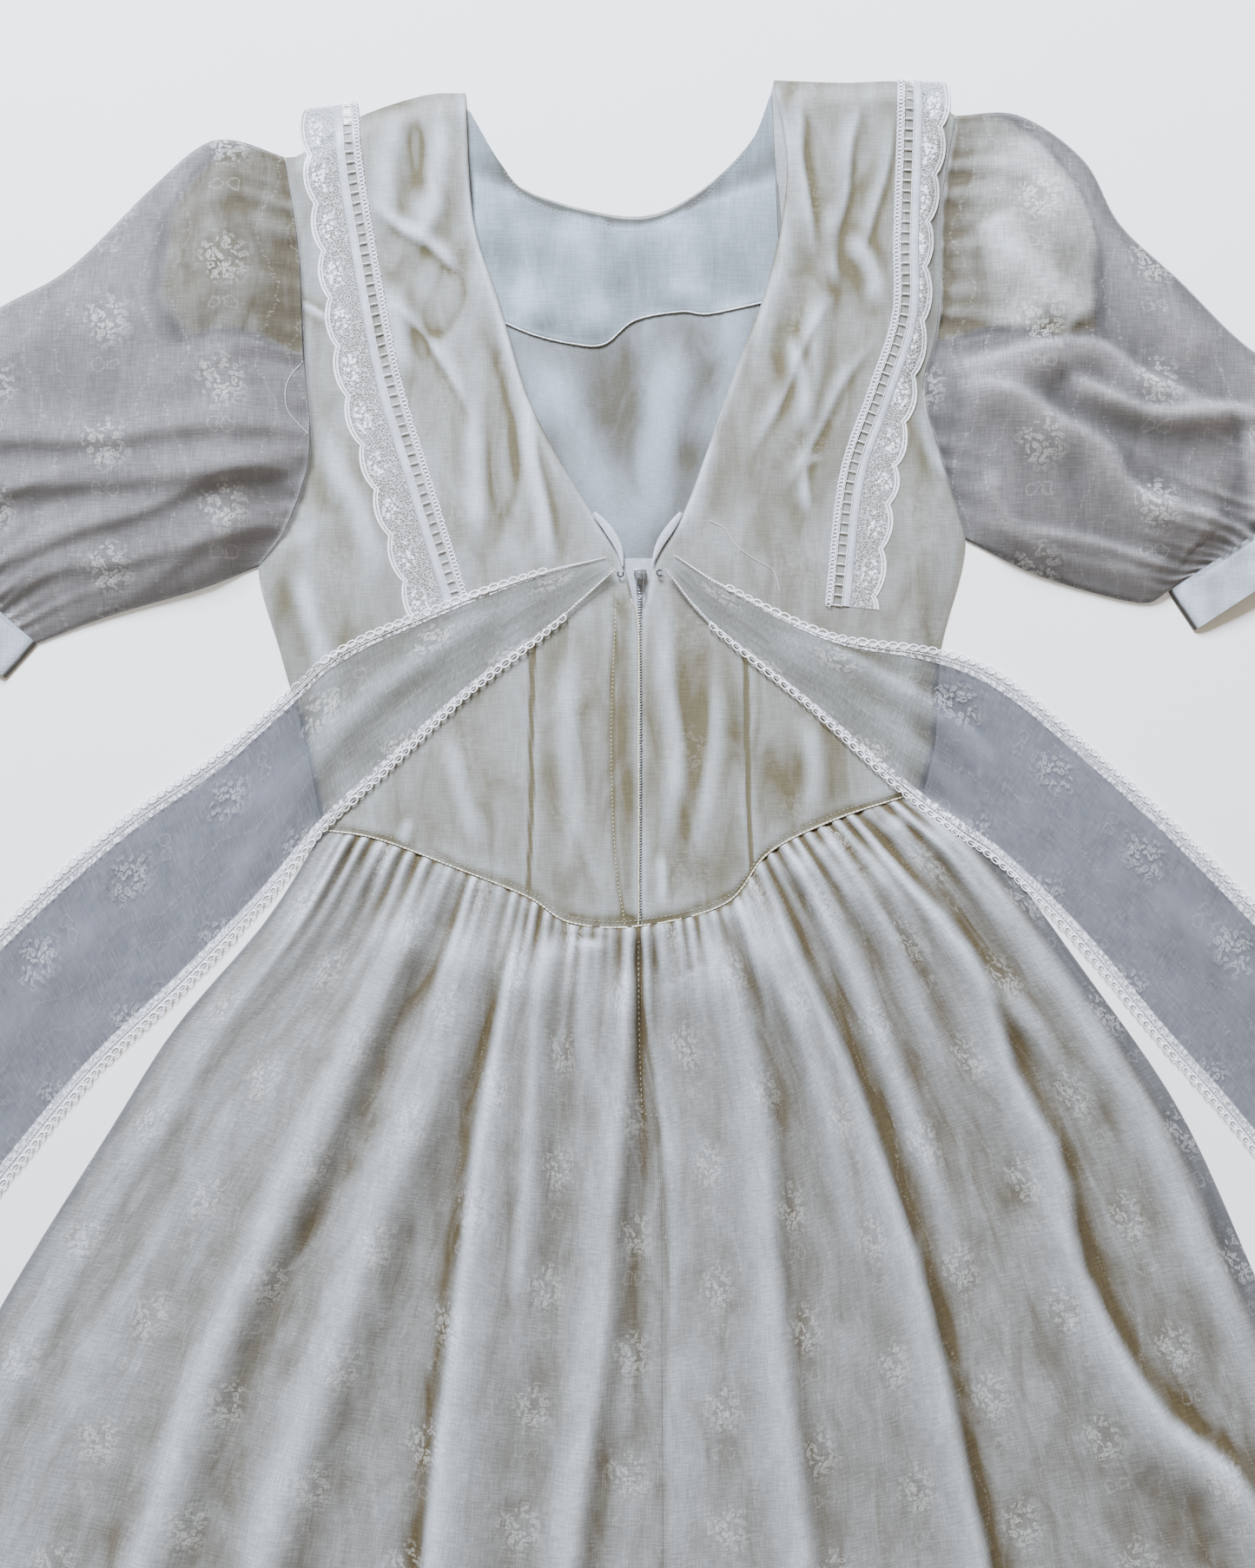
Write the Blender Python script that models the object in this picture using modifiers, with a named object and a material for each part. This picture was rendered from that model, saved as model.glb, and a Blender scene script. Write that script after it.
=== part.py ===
"""A cream voile dress laid flat with its back up.

The folded skirt, the puffed sleeves and the sash lie on a flat front. Lengths are in millimetres
and become metres where the meshes are made. X runs to the right of the dress as it lies, Y runs
towards its neck, and Y = 0 is the lowest point of the curved waist seam. Every sheet of cloth is an
open grid that is given its wall upwards, so a piece that lies on another never cuts into it.
"""

import math

import bmesh
import bpy
import numpy as np
from mathutils import Vector
from mathutils.bvhtree import BVHTree

MM = 0.001
WALL = 1.2
TRIM_WALL = 1.0
GAP = 0.3
LAYER = WALL + GAP

# The sizes that the rest follows
HEM_Y = -790.0
HEM_SIDE_Y = -748.0
ORIGIN_Y = 145.4
SASH_WIDTH = 105.0
SASH_LACE = 9.0
CUFF_DEPTH = 28.0

# Each outline is a short table of x and y
SHOULDER_LEFT = [(-208.2, 453.8), (-199.0, 456.0), (-166.7, 476.9), (-127.2, 490.3), (-102.0, 492.0)]
SHOULDER_RIGHT = [(187.0, 478.5), (170.0, 491.0), (153.8, 498.5), (120.0, 498.0), (80.0, 499.5)]
ARMHOLE_LEFT = [(-208.2, 453.8), (-200.0, 400.0), (-196.9, 338.5), (-193.3, 281.0), (-206.2, 237.9),
                (-224.1, 212.3)]
ARMHOLE_RIGHT = [(187.0, 478.5), (178.5, 423.6), (176.4, 356.9), (167.7, 316.4), (177.4, 278.5),
                 (192.8, 228.0)]
SIDE_LEFT = [(-224.1, 212.3), (-210.8, 160.0), (-197.4, 111.3), (-186.2, 56.4)]
SIDE_RIGHT = [(192.8, 228.0), (178.5, 164.6), (174.9, 111.3), (167.7, 79.5)]
WAIST_LEFT = [(-186.2, 56.4), (-153.8, 51.3), (-108.2, 34.4), (-65.6, 17.4), (-40.0, 2.0), (1.0, 0.0)]
WAIST_RIGHT = [(1.0, 0.0), (51.3, 13.3), (76.9, 43.1), (116.9, 63.1), (167.7, 79.5)]
V_LEFT = [(-102.0, 492.0), (-96.9, 415.9), (-82.1, 368.7), (-62.6, 306.2), (-27.2, 243.1), (-10.0, 216.0)]
V_RIGHT = [(80.0, 499.5), (87.2, 441.5), (76.4, 380.5), (56.4, 325.6), (28.2, 247.2), (11.0, 218.0)]
LAP_LEFT = [(-10.0, 216.0), (-3.4, 192.0), (0.6, 176.0), (0.7, 0.0)]
LAP_RIGHT = [(11.0, 218.0), (4.0, 192.0), (1.4, 176.0), (1.3, 0.0)]
NECK_FRONT = [(-102.0, 484.0), (-82.1, 451.3), (-62.6, 432.8), (-3.6, 419.0), (32.8, 431.8), (66.2, 463.1),
              (80.0, 494.0)]
FACING_EDGE = [(78.0, 368.0), (43.1, 361.0), (25.1, 362.1), (-2.1, 356.9), (-20.0, 343.1), (-64.1, 349.2),
               (-88.0, 366.0)]
LINING_SIDES = [(84.0, 400.0), (88.0, 330.0), (62.0, 210.0), (46.0, 80.0), (-46.0, 80.0), (-66.0, 210.0),
                (-96.0, 330.0), (-95.0, 400.0)]
LINING_TOP = [(-70.0, 432.0), (-3.6, 412.0), (60.0, 440.0)]
SKIRT_LEFT = [(-186.2, 56.4), (-220.5, 2.6), (-272.8, -59.0), (-310.8, -118.5), (-376.9, -225.6),
              (-430.0, -330.0), (-480.0, -450.0), (-520.0, -570.0), (-556.0, HEM_SIDE_Y)]
SKIRT_RIGHT = [(167.7, 79.5), (212.8, 40.5), (262.6, -25.6), (319.5, -108.7), (364.1, -206.7),
               (412.0, -320.0), (458.0, -440.0), (502.0, -560.0), (548.0, HEM_SIDE_Y)]
HEM_LEFT = [(-556.0, HEM_SIDE_Y), (-300.0, -778.0), (14.0, HEM_Y)]
HEM_RIGHT = [(14.0, HEM_Y), (310.0, -778.0), (548.0, HEM_SIDE_Y)]
CENTRE_SEAM = [(1.0, 0.0), (2.6, -68.0), (12.8, -145.0), (14.0, -273.0), (15.0, -500.0), (14.0, HEM_Y)]

# How many straight stretches each edge of a flat piece has
SHOULDER_STEPS = 6
NECK_STEPS = 12
SKIRT_SIDE_STEPS = 14
HEM_STEPS = 16
FACING_NECK_STEPS, FACING_EDGE_STEPS = 10, 12
LINING_STEPS = 24

# The neck facing ends short of the neck's edge: a share of its width, and a distance
FACING_WIDTH_SHARE = 0.97
FACING_INSET = 2.0

# How high the back of the bodice lies, and how much of its width and length its edges take to rise
BODICE_LIFT = 3.4
BODICE_RISE_SIDE, BODICE_RISE_TOP, BODICE_RISE_WAIST = 0.12, 0.05, 0.12

# Columns: where the skirt fold leaves the waist, its x at two heights below, its height and its spread
FOLD_MID_Y, FOLD_LOW_Y = -120.0, -350.0
SKIRT_FOLDS = [
    (-160.0, -262.0, -385.0, 5.0, 15.0),
    (-120.0, -189.0, -292.0, 8.0, 17.0),
    (-90.0, -136.0, -216.0, 10.0, 14.0),
    (-64.0, -88.0, -124.0, 11.0, 11.0),
    (-46.0, -62.0, -84.0, 5.0, 8.0),
    (-14.0, -20.0, -40.0, 9.0, 12.0),
    (30.0, 58.0, 84.0, 8.0, 13.0),
    (68.0, 118.0, 176.0, 10.0, 13.0),
    (88.0, 158.0, 232.0, 5.0, 10.0),
    (124.0, 222.0, 322.0, 11.0, 15.0),
    (152.0, 282.0, 392.0, 5.0, 13.0),
]
SKIRT_GATHERS = 36
GATHER_HEIGHT = 1.5
GATHER_DECAY = 7.0

# A fold is narrow and low at the waist, and grows down the skirt
FOLD_TOP_SPREAD, FOLD_SPREAD_GROWTH, FOLD_FLARE = 0.55, 0.75, 0.6
FOLD_TOP_HEIGHT, FOLD_HEIGHT_GROWTH = 0.35, 0.65
FOLD_SPREAD_REACH, FOLD_HEIGHT_REACH = 0.5, 0.2

# How high the skirt lies: everywhere, and at its gathered seam, and how its sides come down
SKIRT_LIFT = 2.0
SEAM_LIFT, SEAM_LIFT_DECAY = 1.4, 12.0
SKIRT_RISE, EDGE_RISE = 0.07, 0.02

# Rows of the skirt, as shares of its length, close together at the gathered seam
SKIRT_SEAM_ROWS = (0.0, 0.025, 0.075)
SKIRT_ROWS, SKIRT_ROW_POWER = 9, 1.25

# The lining has a column for each third gather, and ends short of the seam and the hem
LINING_COLUMN_STEP = 3
LINING_TOP_INSET, LINING_HEM_INSET = 2.0, 6.0

# How the shared seams are divided: the waist in shares of its two halves, from left to right
LEFT_KNOTS = np.array([0, 2, 5, 11, 17, 22, 27, 32, 36]) / SKIRT_GATHERS
RIGHT_KNOTS = 1 - LEFT_KNOTS[::-1]
ARMHOLE_STEPS, SIDE_STEPS = 8, 6
SLEEVE_COLUMNS = 4 * ARMHOLE_STEPS

# Columns: both ends of a soft ridge on the back of the bodice, its height and its spread
BODICE_RIDGES = [
    (-112.0, 470.0, -70.0, 325.0, 5.0, 12.0),
    (-150.0, 455.0, -88.0, 250.0, 3.0, 9.0),
    (-186.0, 300.0, -110.0, 225.0, 3.5, 10.0),
    (-60.0, 300.0, -30.0, 232.0, 4.0, 11.0),
    (-170.0, 190.0, -120.0, 80.0, 3.0, 12.0),
    (94.0, 480.0, 80.0, 330.0, 5.0, 12.0),
    (128.0, 470.0, 96.0, 300.0, 3.5, 9.0),
    (70.0, 330.0, 40.0, 240.0, 4.0, 11.0),
    (168.0, 270.0, 96.0, 226.0, 3.5, 10.0),
    (150.0, 190.0, 110.0, 90.0, 3.0, 12.0),
]

# Columns: x and y of the inner edge of a shoulder trim, and the trim's width there
TRIM_LEFT = [(-167.5, 475.5, 36.0), (-156.4, 413.8, 36.0), (-141.0, 329.7, 38.0), (-123.1, 268.7, 38.0),
             (-98.0, 188.0, 38.0)]
TRIM_RIGHT = [(152.8, 499.5, 33.0), (151.3, 451.3, 29.0), (149.7, 404.1, 24.5), (149.0, 360.0, 23.5),
              (134.9, 315.9, 30.0), (118.0, 265.0, 36.0), (109.7, 190.0, 33.0)]
BRAID_WIDTH = 4.5
LADDER_WIDTH = 5.3
TAPE_WIDTH = 5.0
LADDER_PITCH = 6.0
LADDER_GAP = 4.8
SCALLOP_PITCH = 28.0
SCALLOP_DEPTH = 4.0
SCALLOP_ROWS = 6
LACE_LEAST_WIDTH = 2.0
TRIM_SAMPLES = 2

# Outlines of a sleeve from its armhole to its cuff, and the ends of its cuff seam
SLEEVE_TOP_LEFT = [(-208.2, 453.8), (-238.5, 464.0), (-259.0, 460.0), (-289.7, 433.3), (-335.9, 388.2),
                   (-376.9, 365.1), (-438.0, 327.0), (-461.0, 263.0)]
SLEEVE_LOW_LEFT = [(-224.1, 212.3), (-258.5, 199.0), (-310.8, 183.6), (-354.4, 167.2)]
SLEEVE_TOP_RIGHT = [(187.0, 478.5), (224.6, 478.5), (262.6, 452.3), (284.1, 414.4), (319.5, 381.0),
                    (364.1, 338.5), (423.0, 308.0), (433.0, 279.0)]
SLEEVE_LOW_RIGHT = [(192.8, 228.0), (238.5, 206.2), (294.9, 191.0), (312.3, 197.9)]

# Columns: how far along the sleeve and across it a ridge starts and ends, its height and its spread
SLEEVE_RIDGES = [
    (0.15, 0.34, 0.95, 0.30, 5.0, 0.05),
    (0.10, 0.52, 0.95, 0.48, 5.0, 0.04),
    (0.12, 0.68, 0.98, 0.64, 6.0, 0.05),
    (0.10, 0.84, 0.95, 0.82, 4.0, 0.04),
]
PUFF_HEIGHT = 24.0
CUFF_HEIGHT = 7.0
HEAD_DROP = 2.0

# The sleeve's height: full at PUFF_FULL of its length, lower towards the cuff, and round across it
PUFF_START, PUFF_FULL = -0.02, 0.24
PUFF_FALL, PUFF_FALL_START, CUFF_START = 0.45, 0.2, 0.7
SLEEVE_ROUND = 0.55
SLEEVE_GATHER_HEIGHT, SLEEVE_GATHER_DECAY = 1.6, 9.0
SLEEVE_RIDGE_START = 0.2

# Rings along the sleeve, as shares of its length, close together at the armhole
SLEEVE_SEAM_ROWS = (0.0, 0.05, 0.12)
SLEEVE_ROW_START, SLEEVE_EVEN_ROWS = 0.22, 7
SLEEVE_UNDER_STEP = 4
TUBE_EDGE_INSET = 1.5

# The pouf under the head of the sleeve: its first and last rows and columns of the sleeve's grid
HEAD_ROWS = slice(1, 5)
HEAD_COLUMNS = slice(3, 19)

# Columns of a cuff, as shares of its seam, and those of its flat underside
CUFF_COLUMNS = np.array([0, 0.03, 0.15, 0.35, 0.65, 0.85, 0.97, 1])
CUFF_UNDER_COLUMNS = np.array([1, 3, 4, 6])

# Columns: x and y of the sash's upper edge, then of its lower edge
SASH_LEFT = [
    (-20.0, 217.0, -14.0, 209.0), (-60.0, 208.0, -48.0, 178.0), (-112.0, 190.0, -100.0, 136.9),
    (-172.0, 165.0, -152.0, 88.0), (-204.1, 139.5, -187.2, 54.9), (-246.0, 103.0, -222.0, 13.0),
    (-305.0, 62.0, -268.0, -36.0), (-362.0, 12.0, -318.0, -84.0), (-424.0, -52.0, -360.0, -134.0),
    (-504.0, -150.0, -420.0, -212.0), (-564.0, -252.0, -467.0, -292.0), (-600.0, -352.0, -498.0, -376.0),
    (-617.0, -436.0, -512.0, -448.0),
]
SASH_RIGHT = [
    (22.0, 218.0, 16.0, 209.0), (52.0, 200.0, 42.0, 178.0), (112.0, 172.0, 100.0, 130.0),
    (178.0, 162.0, 152.0, 82.0), (214.0, 148.0, 188.0, 54.0), (254.0, 116.0, 214.0, 36.0),
    (310.0, 66.0, 258.0, -8.0), (362.0, 14.0, 306.0, -66.0), (424.0, -52.0, 356.0, -124.0),
    (504.0, -150.0, 416.0, -206.0), (564.0, -252.0, 464.0, -290.0), (600.0, -352.0, 496.0, -376.0),
    (617.0, -436.0, 512.0, -448.0),
]

# Rows along a sash, columns across its cloth and across the cloth it lies on, and its sewn-in root
SASH_ROWS, SASH_COLUMNS, SASH_SAMPLES = 30, 5, 8
SASH_REACH = 5
ROOT_HEIGHT, ROOT_DECAY = 8.4, 0.05
LACE_GAP_MOST = 0.05

# The centre-back zip
ZIP_X = 1.0
ZIP_TOP_Y = 217.0
ZIP_LOW_Y = 4.0
TAPE_HALF = 12.0
TAPE_Z = 2.0 * LAYER - 0.2
SLIDER_SIZE = (7.6, 9.0, 2.8)
SLIDER_BEVEL = 0.8
SLIDER_Y = 206.0
TAB_SIZE = (4.6, 13.0, 0.9)
TAB_SLOT = (2.8, 4.2, 4.0)
BAR = 0.9
BAR_SLACK = GAP + 0.1
BRIDGE_WIDTH, BRIDGE_LENGTH, BRIDGE_WALL, BRIDGE_SINK = 1.8, 5.0, 0.8, 0.6
TUNNEL_SIZE = (8.0, BAR + 2 * GAP + 0.8, BAR + 2 * GAP + 0.2)

# Columns: name of the wire loop, its x and y, and the angle where its wire starts
WIRE_LOOPS = [("hook", -10.5, 207.5, 2.3), ("eye", 12.5, 208.0, 0.8)]
WIRE_RADIUS = 0.45
LOOP_RADIUS = 1.7
LOOP_TURN = 1.5 * math.pi
LOOP_STEPS = 8
LOOP_SEAT_REACH = 1.3


def clear_scene():
    for obj in list(bpy.data.objects):
        bpy.data.objects.remove(obj)


def make_collection(name):
    collection = bpy.data.collections.new(name)
    bpy.context.scene.collection.children.link(collection)
    return collection


def material(name, hex_colour, roughness, metallic=0.0):
    """A plain Principled material from an sRGB colour."""
    made = bpy.data.materials.new(name)
    made.use_nodes = True
    shader = made.node_tree.nodes["Principled BSDF"]
    channels = [int(hex_colour[i : i + 2], 16) / 255 for i in (0, 2, 4)]
    linear = [c / 12.92 if c <= 0.04045 else ((c + 0.055) / 1.055) ** 2.4 for c in channels]
    shader.inputs["Base Color"].default_value = (*linear, 1.0)
    shader.inputs["Roughness"].default_value = roughness
    shader.inputs["Metallic"].default_value = metallic
    return made


def smooth_line(table, shares):
    """Rows of the table's values on a smooth curve through them, at the given shares of its length."""
    points = np.array(table, float)
    ends = np.vstack([2 * points[0] - points[1], points, 2 * points[-1] - points[-2]])
    steps = np.linspace(0, 1, 24, endpoint=False)[:, None]
    runs = []
    for before, start, end, after in zip(ends, ends[1:], ends[2:], ends[3:]):
        slope_in, slope_out = (end - before) / 2, (after - start) / 2
        cubic = 2 * (start - end) + slope_in + slope_out
        square = 3 * (end - start) - 2 * slope_in - slope_out
        runs.append(((cubic * steps + square) * steps + slope_in) * steps + start)
    fine = np.vstack([*runs, points[-1:]])
    lengths = np.r_[0, np.cumsum(np.linalg.norm(np.diff(fine[:, :2], axis=0), axis=1))]
    wanted = np.asarray(shares) * lengths[-1]
    return np.stack([np.interp(wanted, lengths, column) for column in fine.T], axis=1)


def line_length(table):
    fine = smooth_line(table, np.linspace(0, 1, 60))[:, :2]
    return np.linalg.norm(np.diff(fine, axis=0), axis=1).sum()


def patch(upper, lower, start, end, across, down):
    """Plan points of a panel, in rows, from the points of its top, bottom, left and right edges."""
    u, v = np.asarray(across)[None, :, None], np.asarray(down)[:, None, None]
    ruled = (1 - v) * upper[None] + v * lower[None] + (1 - u) * start[:, None] + u * end[:, None]
    corners = (1 - v) * ((1 - u) * upper[0] + u * upper[-1]) + v * ((1 - u) * lower[0] + u * lower[-1])
    return ruled - corners


def divided(plan, parts):
    """The plan with each step along its rows divided into equal parts."""
    count = plan.shape[1]
    places = np.linspace(0, count - 1, (count - 1) * parts + 1)
    return np.stack([[np.interp(places, range(count), row[:, k]) for row in plan] for k in (0, 1)], axis=2)


def with_height(plan, height):
    return np.concatenate([plan, np.broadcast_to(height, plan.shape[:2])[..., None]], axis=2)


def soft_step(value, start, end):
    share = np.clip((value - start) / (end - start), 0, 1)
    return share * share * (3 - 2 * share)


def ridge_height(plan, ridges):
    """The summed height of soft ridges, each along a straight line and fading at its ends."""
    total = np.zeros(plan.shape[:2])
    for x0, y0, x1, y1, height, spread in ridges:
        start, along = np.array([x0, y0]), np.array([x1 - x0, y1 - y0])
        share = ((plan - start) @ along) / (along @ along)
        away = np.linalg.norm(plan - start - np.clip(share, 0, 1)[..., None] * along, axis=2)
        fade = soft_step(share, -0.15, 0.2) * soft_step(-share, -1.15, -0.75)
        total += height * fade * np.exp(-0.5 * (away / spread) ** 2)
    return total


class Wardrobe:
    """Makes the pieces, and remembers what already lies on the floor."""

    def __init__(self, collection, root):
        self.collection = collection
        self.root = root
        self.laid = []

    def add(self, name, data, finish):
        obj = bpy.data.objects.new(name, data)
        data.materials.append(finish)
        self.collection.objects.link(obj)
        obj.parent = self.root
        return obj

    def finish_mesh(self, name, bm, finish, lies=True):
        bmesh.ops.recalc_face_normals(bm, faces=bm.faces)
        mesh = bpy.data.meshes.new(name)
        bm.to_mesh(mesh)
        if lies:
            self.laid.append(BVHTree.FromBMesh(bm))
        bm.free()
        return self.add(name, mesh, finish)

    def grid(self, points):
        """A grid primitive with its points moved to the given rows of points."""
        rows, columns = points.shape[:2]
        bm = bmesh.new()
        bmesh.ops.create_grid(bm, x_segments=columns - 1, y_segments=rows - 1, size=1)
        for vert in bm.verts:
            row = round((vert.co.y + 1) / 2 * (rows - 1))
            column = round((vert.co.x + 1) / 2 * (columns - 1))
            vert.co = Vector(points[row, column] * MM)
        return bm

    def sheet(self, name, points, finish, wall=WALL, holes=None):
        """A sheet of cloth: the grid, without the cells named in holes, drawn upwards by its wall."""
        rows, columns = points.shape[:2]
        bm = self.grid(points)
        if holes is not None:
            bm.faces.ensure_lookup_table()
            cells = [bm.faces[row * (columns - 1) + column] for row, column in holes]
            bmesh.ops.delete(bm, geom=cells, context="FACES")
        made = bmesh.ops.extrude_face_region(bm, geom=list(bm.faces), use_keep_orig=True)
        moved = [item for item in made["geom"] if isinstance(item, bmesh.types.BMVert)]
        bmesh.ops.translate(bm, verts=moved, vec=(0, 0, wall * MM))
        return self.finish_mesh(name, bm, finish)

    def tube(self, name, outer, inner, finish):
        """A wall between two nests of closed rings, open at both ends."""
        rings = np.concatenate([outer, inner[::-1], outer[:1]])
        closed = np.concatenate([rings, rings[:, :1]], axis=1)
        bm = self.grid(closed)
        bmesh.ops.remove_doubles(bm, verts=bm.verts, dist=1e-6)
        return self.finish_mesh(name, bm, finish)

    def flat(self, name, outline, low, finish, wall=WALL):
        """A flat piece cut to an outline, as a filled curve with its underside at the given height."""
        curve = bpy.data.curves.new(name, "CURVE")
        curve.dimensions = "2D"
        curve.fill_mode = "BOTH"
        curve.extrude = wall * MM / 2
        spline = curve.splines.new("POLY")
        spline.points.add(len(outline) - 1)
        for point, (x, y) in zip(spline.points, outline):
            point.co = (x * MM, y * MM, 0, 1)
        spline.use_cyclic_u = True
        obj = self.add(name, curve, finish)
        obj.location.z = (low + wall / 2) * MM
        return obj

    def top_at(self, x, y):
        """Height of the highest cloth at a place, or 0 on the bare floor."""
        hits = [tree.ray_cast(Vector((x * MM, y * MM, 1.0)), Vector((0, 0, -1)))[0] for tree in self.laid]
        return max([hit.z / MM for hit in hits if hit], default=0.0)

    def laid_on(self, plan, own_height, reach, clearance=GAP):
        """Heights that clear all the cloth below, at each point and in the cells round it."""
        rows, columns = plan.shape[:2]
        fine = divided(divided(plan, reach).swapaxes(0, 1), reach).swapaxes(0, 1)
        tops = np.array([[self.top_at(x, y) for x, y in row] for row in fine])
        height = np.empty((rows, columns))
        for row in range(rows):
            for column in range(columns):
                near = tops[max(row * reach - reach, 0) : row * reach + reach + 1,
                            max(column * reach - reach, 0) : column * reach + reach + 1]
                height[row, column] = near.max()
        height = np.where(height > 0, height + clearance, 0)
        return np.maximum(height, own_height)


def moved_in(plan, top, bottom):
    """The plan with its first and last rows drawn in by the given distances."""
    plan = plan.copy()
    for edge, inward, distance in ((0, 1, top), (-1, -2, bottom)):
        step = plan[inward] - plan[edge]
        plan[edge] += distance * step / np.linalg.norm(step, axis=1)[:, None]
    return plan


def even(count):
    return np.linspace(0, 1, count + 1)


def armhole_line(table):
    return smooth_line(table, even(ARMHOLE_STEPS))


def body_side(armhole, side):
    """The outer edge of the bodice: its armhole and then its side seam."""
    return np.vstack([armhole_line(armhole), smooth_line(side, even(SIDE_STEPS))[1:]])


def waist_line(table, knots, gathers):
    """The waist seam in straight stitches between the bodice's columns, a point for each gather."""
    return np.stack([np.interp(gathers, knots, column) for column in smooth_line(table, knots).T], axis=1)


def outline(*runs):
    """One closed outline from runs of points that follow each other."""
    return np.vstack([run[:-1] for run in runs])


def front_pieces(shop, cloth, lining, facing):
    """The flat front of the bodice and skirt, and what shows of its inside in the open back."""
    seam = np.vstack([smooth_line(WAIST_LEFT, LEFT_KNOTS)[:-1], smooth_line(WAIST_RIGHT, RIGHT_KNOTS)])
    bodice = outline(body_side(ARMHOLE_LEFT, SIDE_LEFT), seam, body_side(ARMHOLE_RIGHT, SIDE_RIGHT)[::-1],
                     smooth_line(SHOULDER_RIGHT, even(SHOULDER_STEPS)),
                     smooth_line(NECK_FRONT[::-1], even(NECK_STEPS)),
                     smooth_line(SHOULDER_LEFT[::-1], even(SHOULDER_STEPS)))
    shop.flat("front_bodice", bodice, 0.0, cloth)
    lowered = seam - (0, GAP)
    skirt = outline(smooth_line(SKIRT_LEFT, even(SKIRT_SIDE_STEPS)),
                    smooth_line(HEM_LEFT + HEM_RIGHT[1:], even(HEM_STEPS)),
                    smooth_line(SKIRT_RIGHT[::-1], even(SKIRT_SIDE_STEPS)), lowered[::-1])
    skirt[0, 1] -= GAP
    shop.flat("front_skirt", skirt, 0.0, cloth)
    inset_neck = [(x * FACING_WIDTH_SHARE, y - FACING_INSET) for x, y in NECK_FRONT]
    neck = smooth_line(inset_neck, even(FACING_NECK_STEPS))
    lower = smooth_line(FACING_EDGE, even(FACING_EDGE_STEPS))
    shop.flat("front_facing", np.vstack([neck, lower]), LAYER + TRIM_WALL + GAP, facing, TRIM_WALL)
    lining_edge = smooth_line(LINING_SIDES + LINING_TOP + LINING_SIDES[:1], even(LINING_STEPS))
    shop.flat("front_lining", lining_edge[:-1], LAYER, lining, TRIM_WALL)


def bodice_height(plan, across, down, outer_left):
    """How high the back of the bodice lies over the front: down at its edges, lifted by ridges."""
    from_side = across if outer_left else 1 - across
    edge = soft_step(from_side[None, :], 0, BODICE_RISE_SIDE) * soft_step(down[:, None], 0, BODICE_RISE_TOP)
    ridges = ridge_height(plan, BODICE_RIDGES) * soft_step(1 - down[:, None], 0, BODICE_RISE_WAIST)
    return LAYER + edge * (BODICE_LIFT + ridges)


def back_bodice(shop, cloth):
    """The two halves of the back, whose left edge laps the zip."""
    down = even(ARMHOLE_STEPS + SIDE_STEPS)
    left = patch(smooth_line(SHOULDER_LEFT, LEFT_KNOTS), smooth_line(WAIST_LEFT, LEFT_KNOTS),
                 body_side(ARMHOLE_LEFT, SIDE_LEFT), smooth_line(V_LEFT + LAP_LEFT[1:], down),
                 LEFT_KNOTS, down)
    right = patch(smooth_line(SHOULDER_RIGHT[::-1], RIGHT_KNOTS), smooth_line(WAIST_RIGHT, RIGHT_KNOTS),
                  smooth_line(V_RIGHT + LAP_RIGHT[1:], down), body_side(ARMHOLE_RIGHT, SIDE_RIGHT),
                  RIGHT_KNOTS, down)
    left_height = bodice_height(left, LEFT_KNOTS, down, True)
    right_height = bodice_height(right, RIGHT_KNOTS, down, False)
    shop.sheet("back_bodice_left", with_height(left, left_height), cloth)
    shop.sheet("back_bodice_right", with_height(right, right_height), cloth)


def fold_field(down, plan):
    """The height of the skirt's folds, each followed down the skirt in shares of its width."""
    left, right = plan[:, :1, 0], plan[:, -1:, 0]
    middle_y = plan[:, :, 1].mean(axis=1)
    total = np.zeros(plan.shape[:2])
    for top_x, mid_x, low_x, height, spread in SKIRT_FOLDS:
        levels = np.array([FOLD_LOW_Y, FOLD_MID_Y, middle_y[0]])
        centres = np.array([low_x, mid_x, top_x])
        edges_y, edges_left = middle_y[::-1], left[::-1, 0]
        widths = (right - left)[::-1, 0]
        shares = (centres - np.interp(levels, edges_y, edges_left)) / np.interp(levels, edges_y, widths)
        centre = np.interp(middle_y, levels, shares)[:, None] * (right - left) + left
        grow = FOLD_TOP_SPREAD + FOLD_SPREAD_GROWTH * soft_step(down, 0, FOLD_SPREAD_REACH)
        away = (plan[:, :, 0] - centre) / (spread * grow[:, None] * (1 + FOLD_FLARE * down[:, None]))
        rise = FOLD_TOP_HEIGHT + FOLD_HEIGHT_GROWTH * soft_step(down, 0, FOLD_HEIGHT_REACH)
        total += height * rise[:, None] * np.exp(-0.5 * away**2)
    return total


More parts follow.
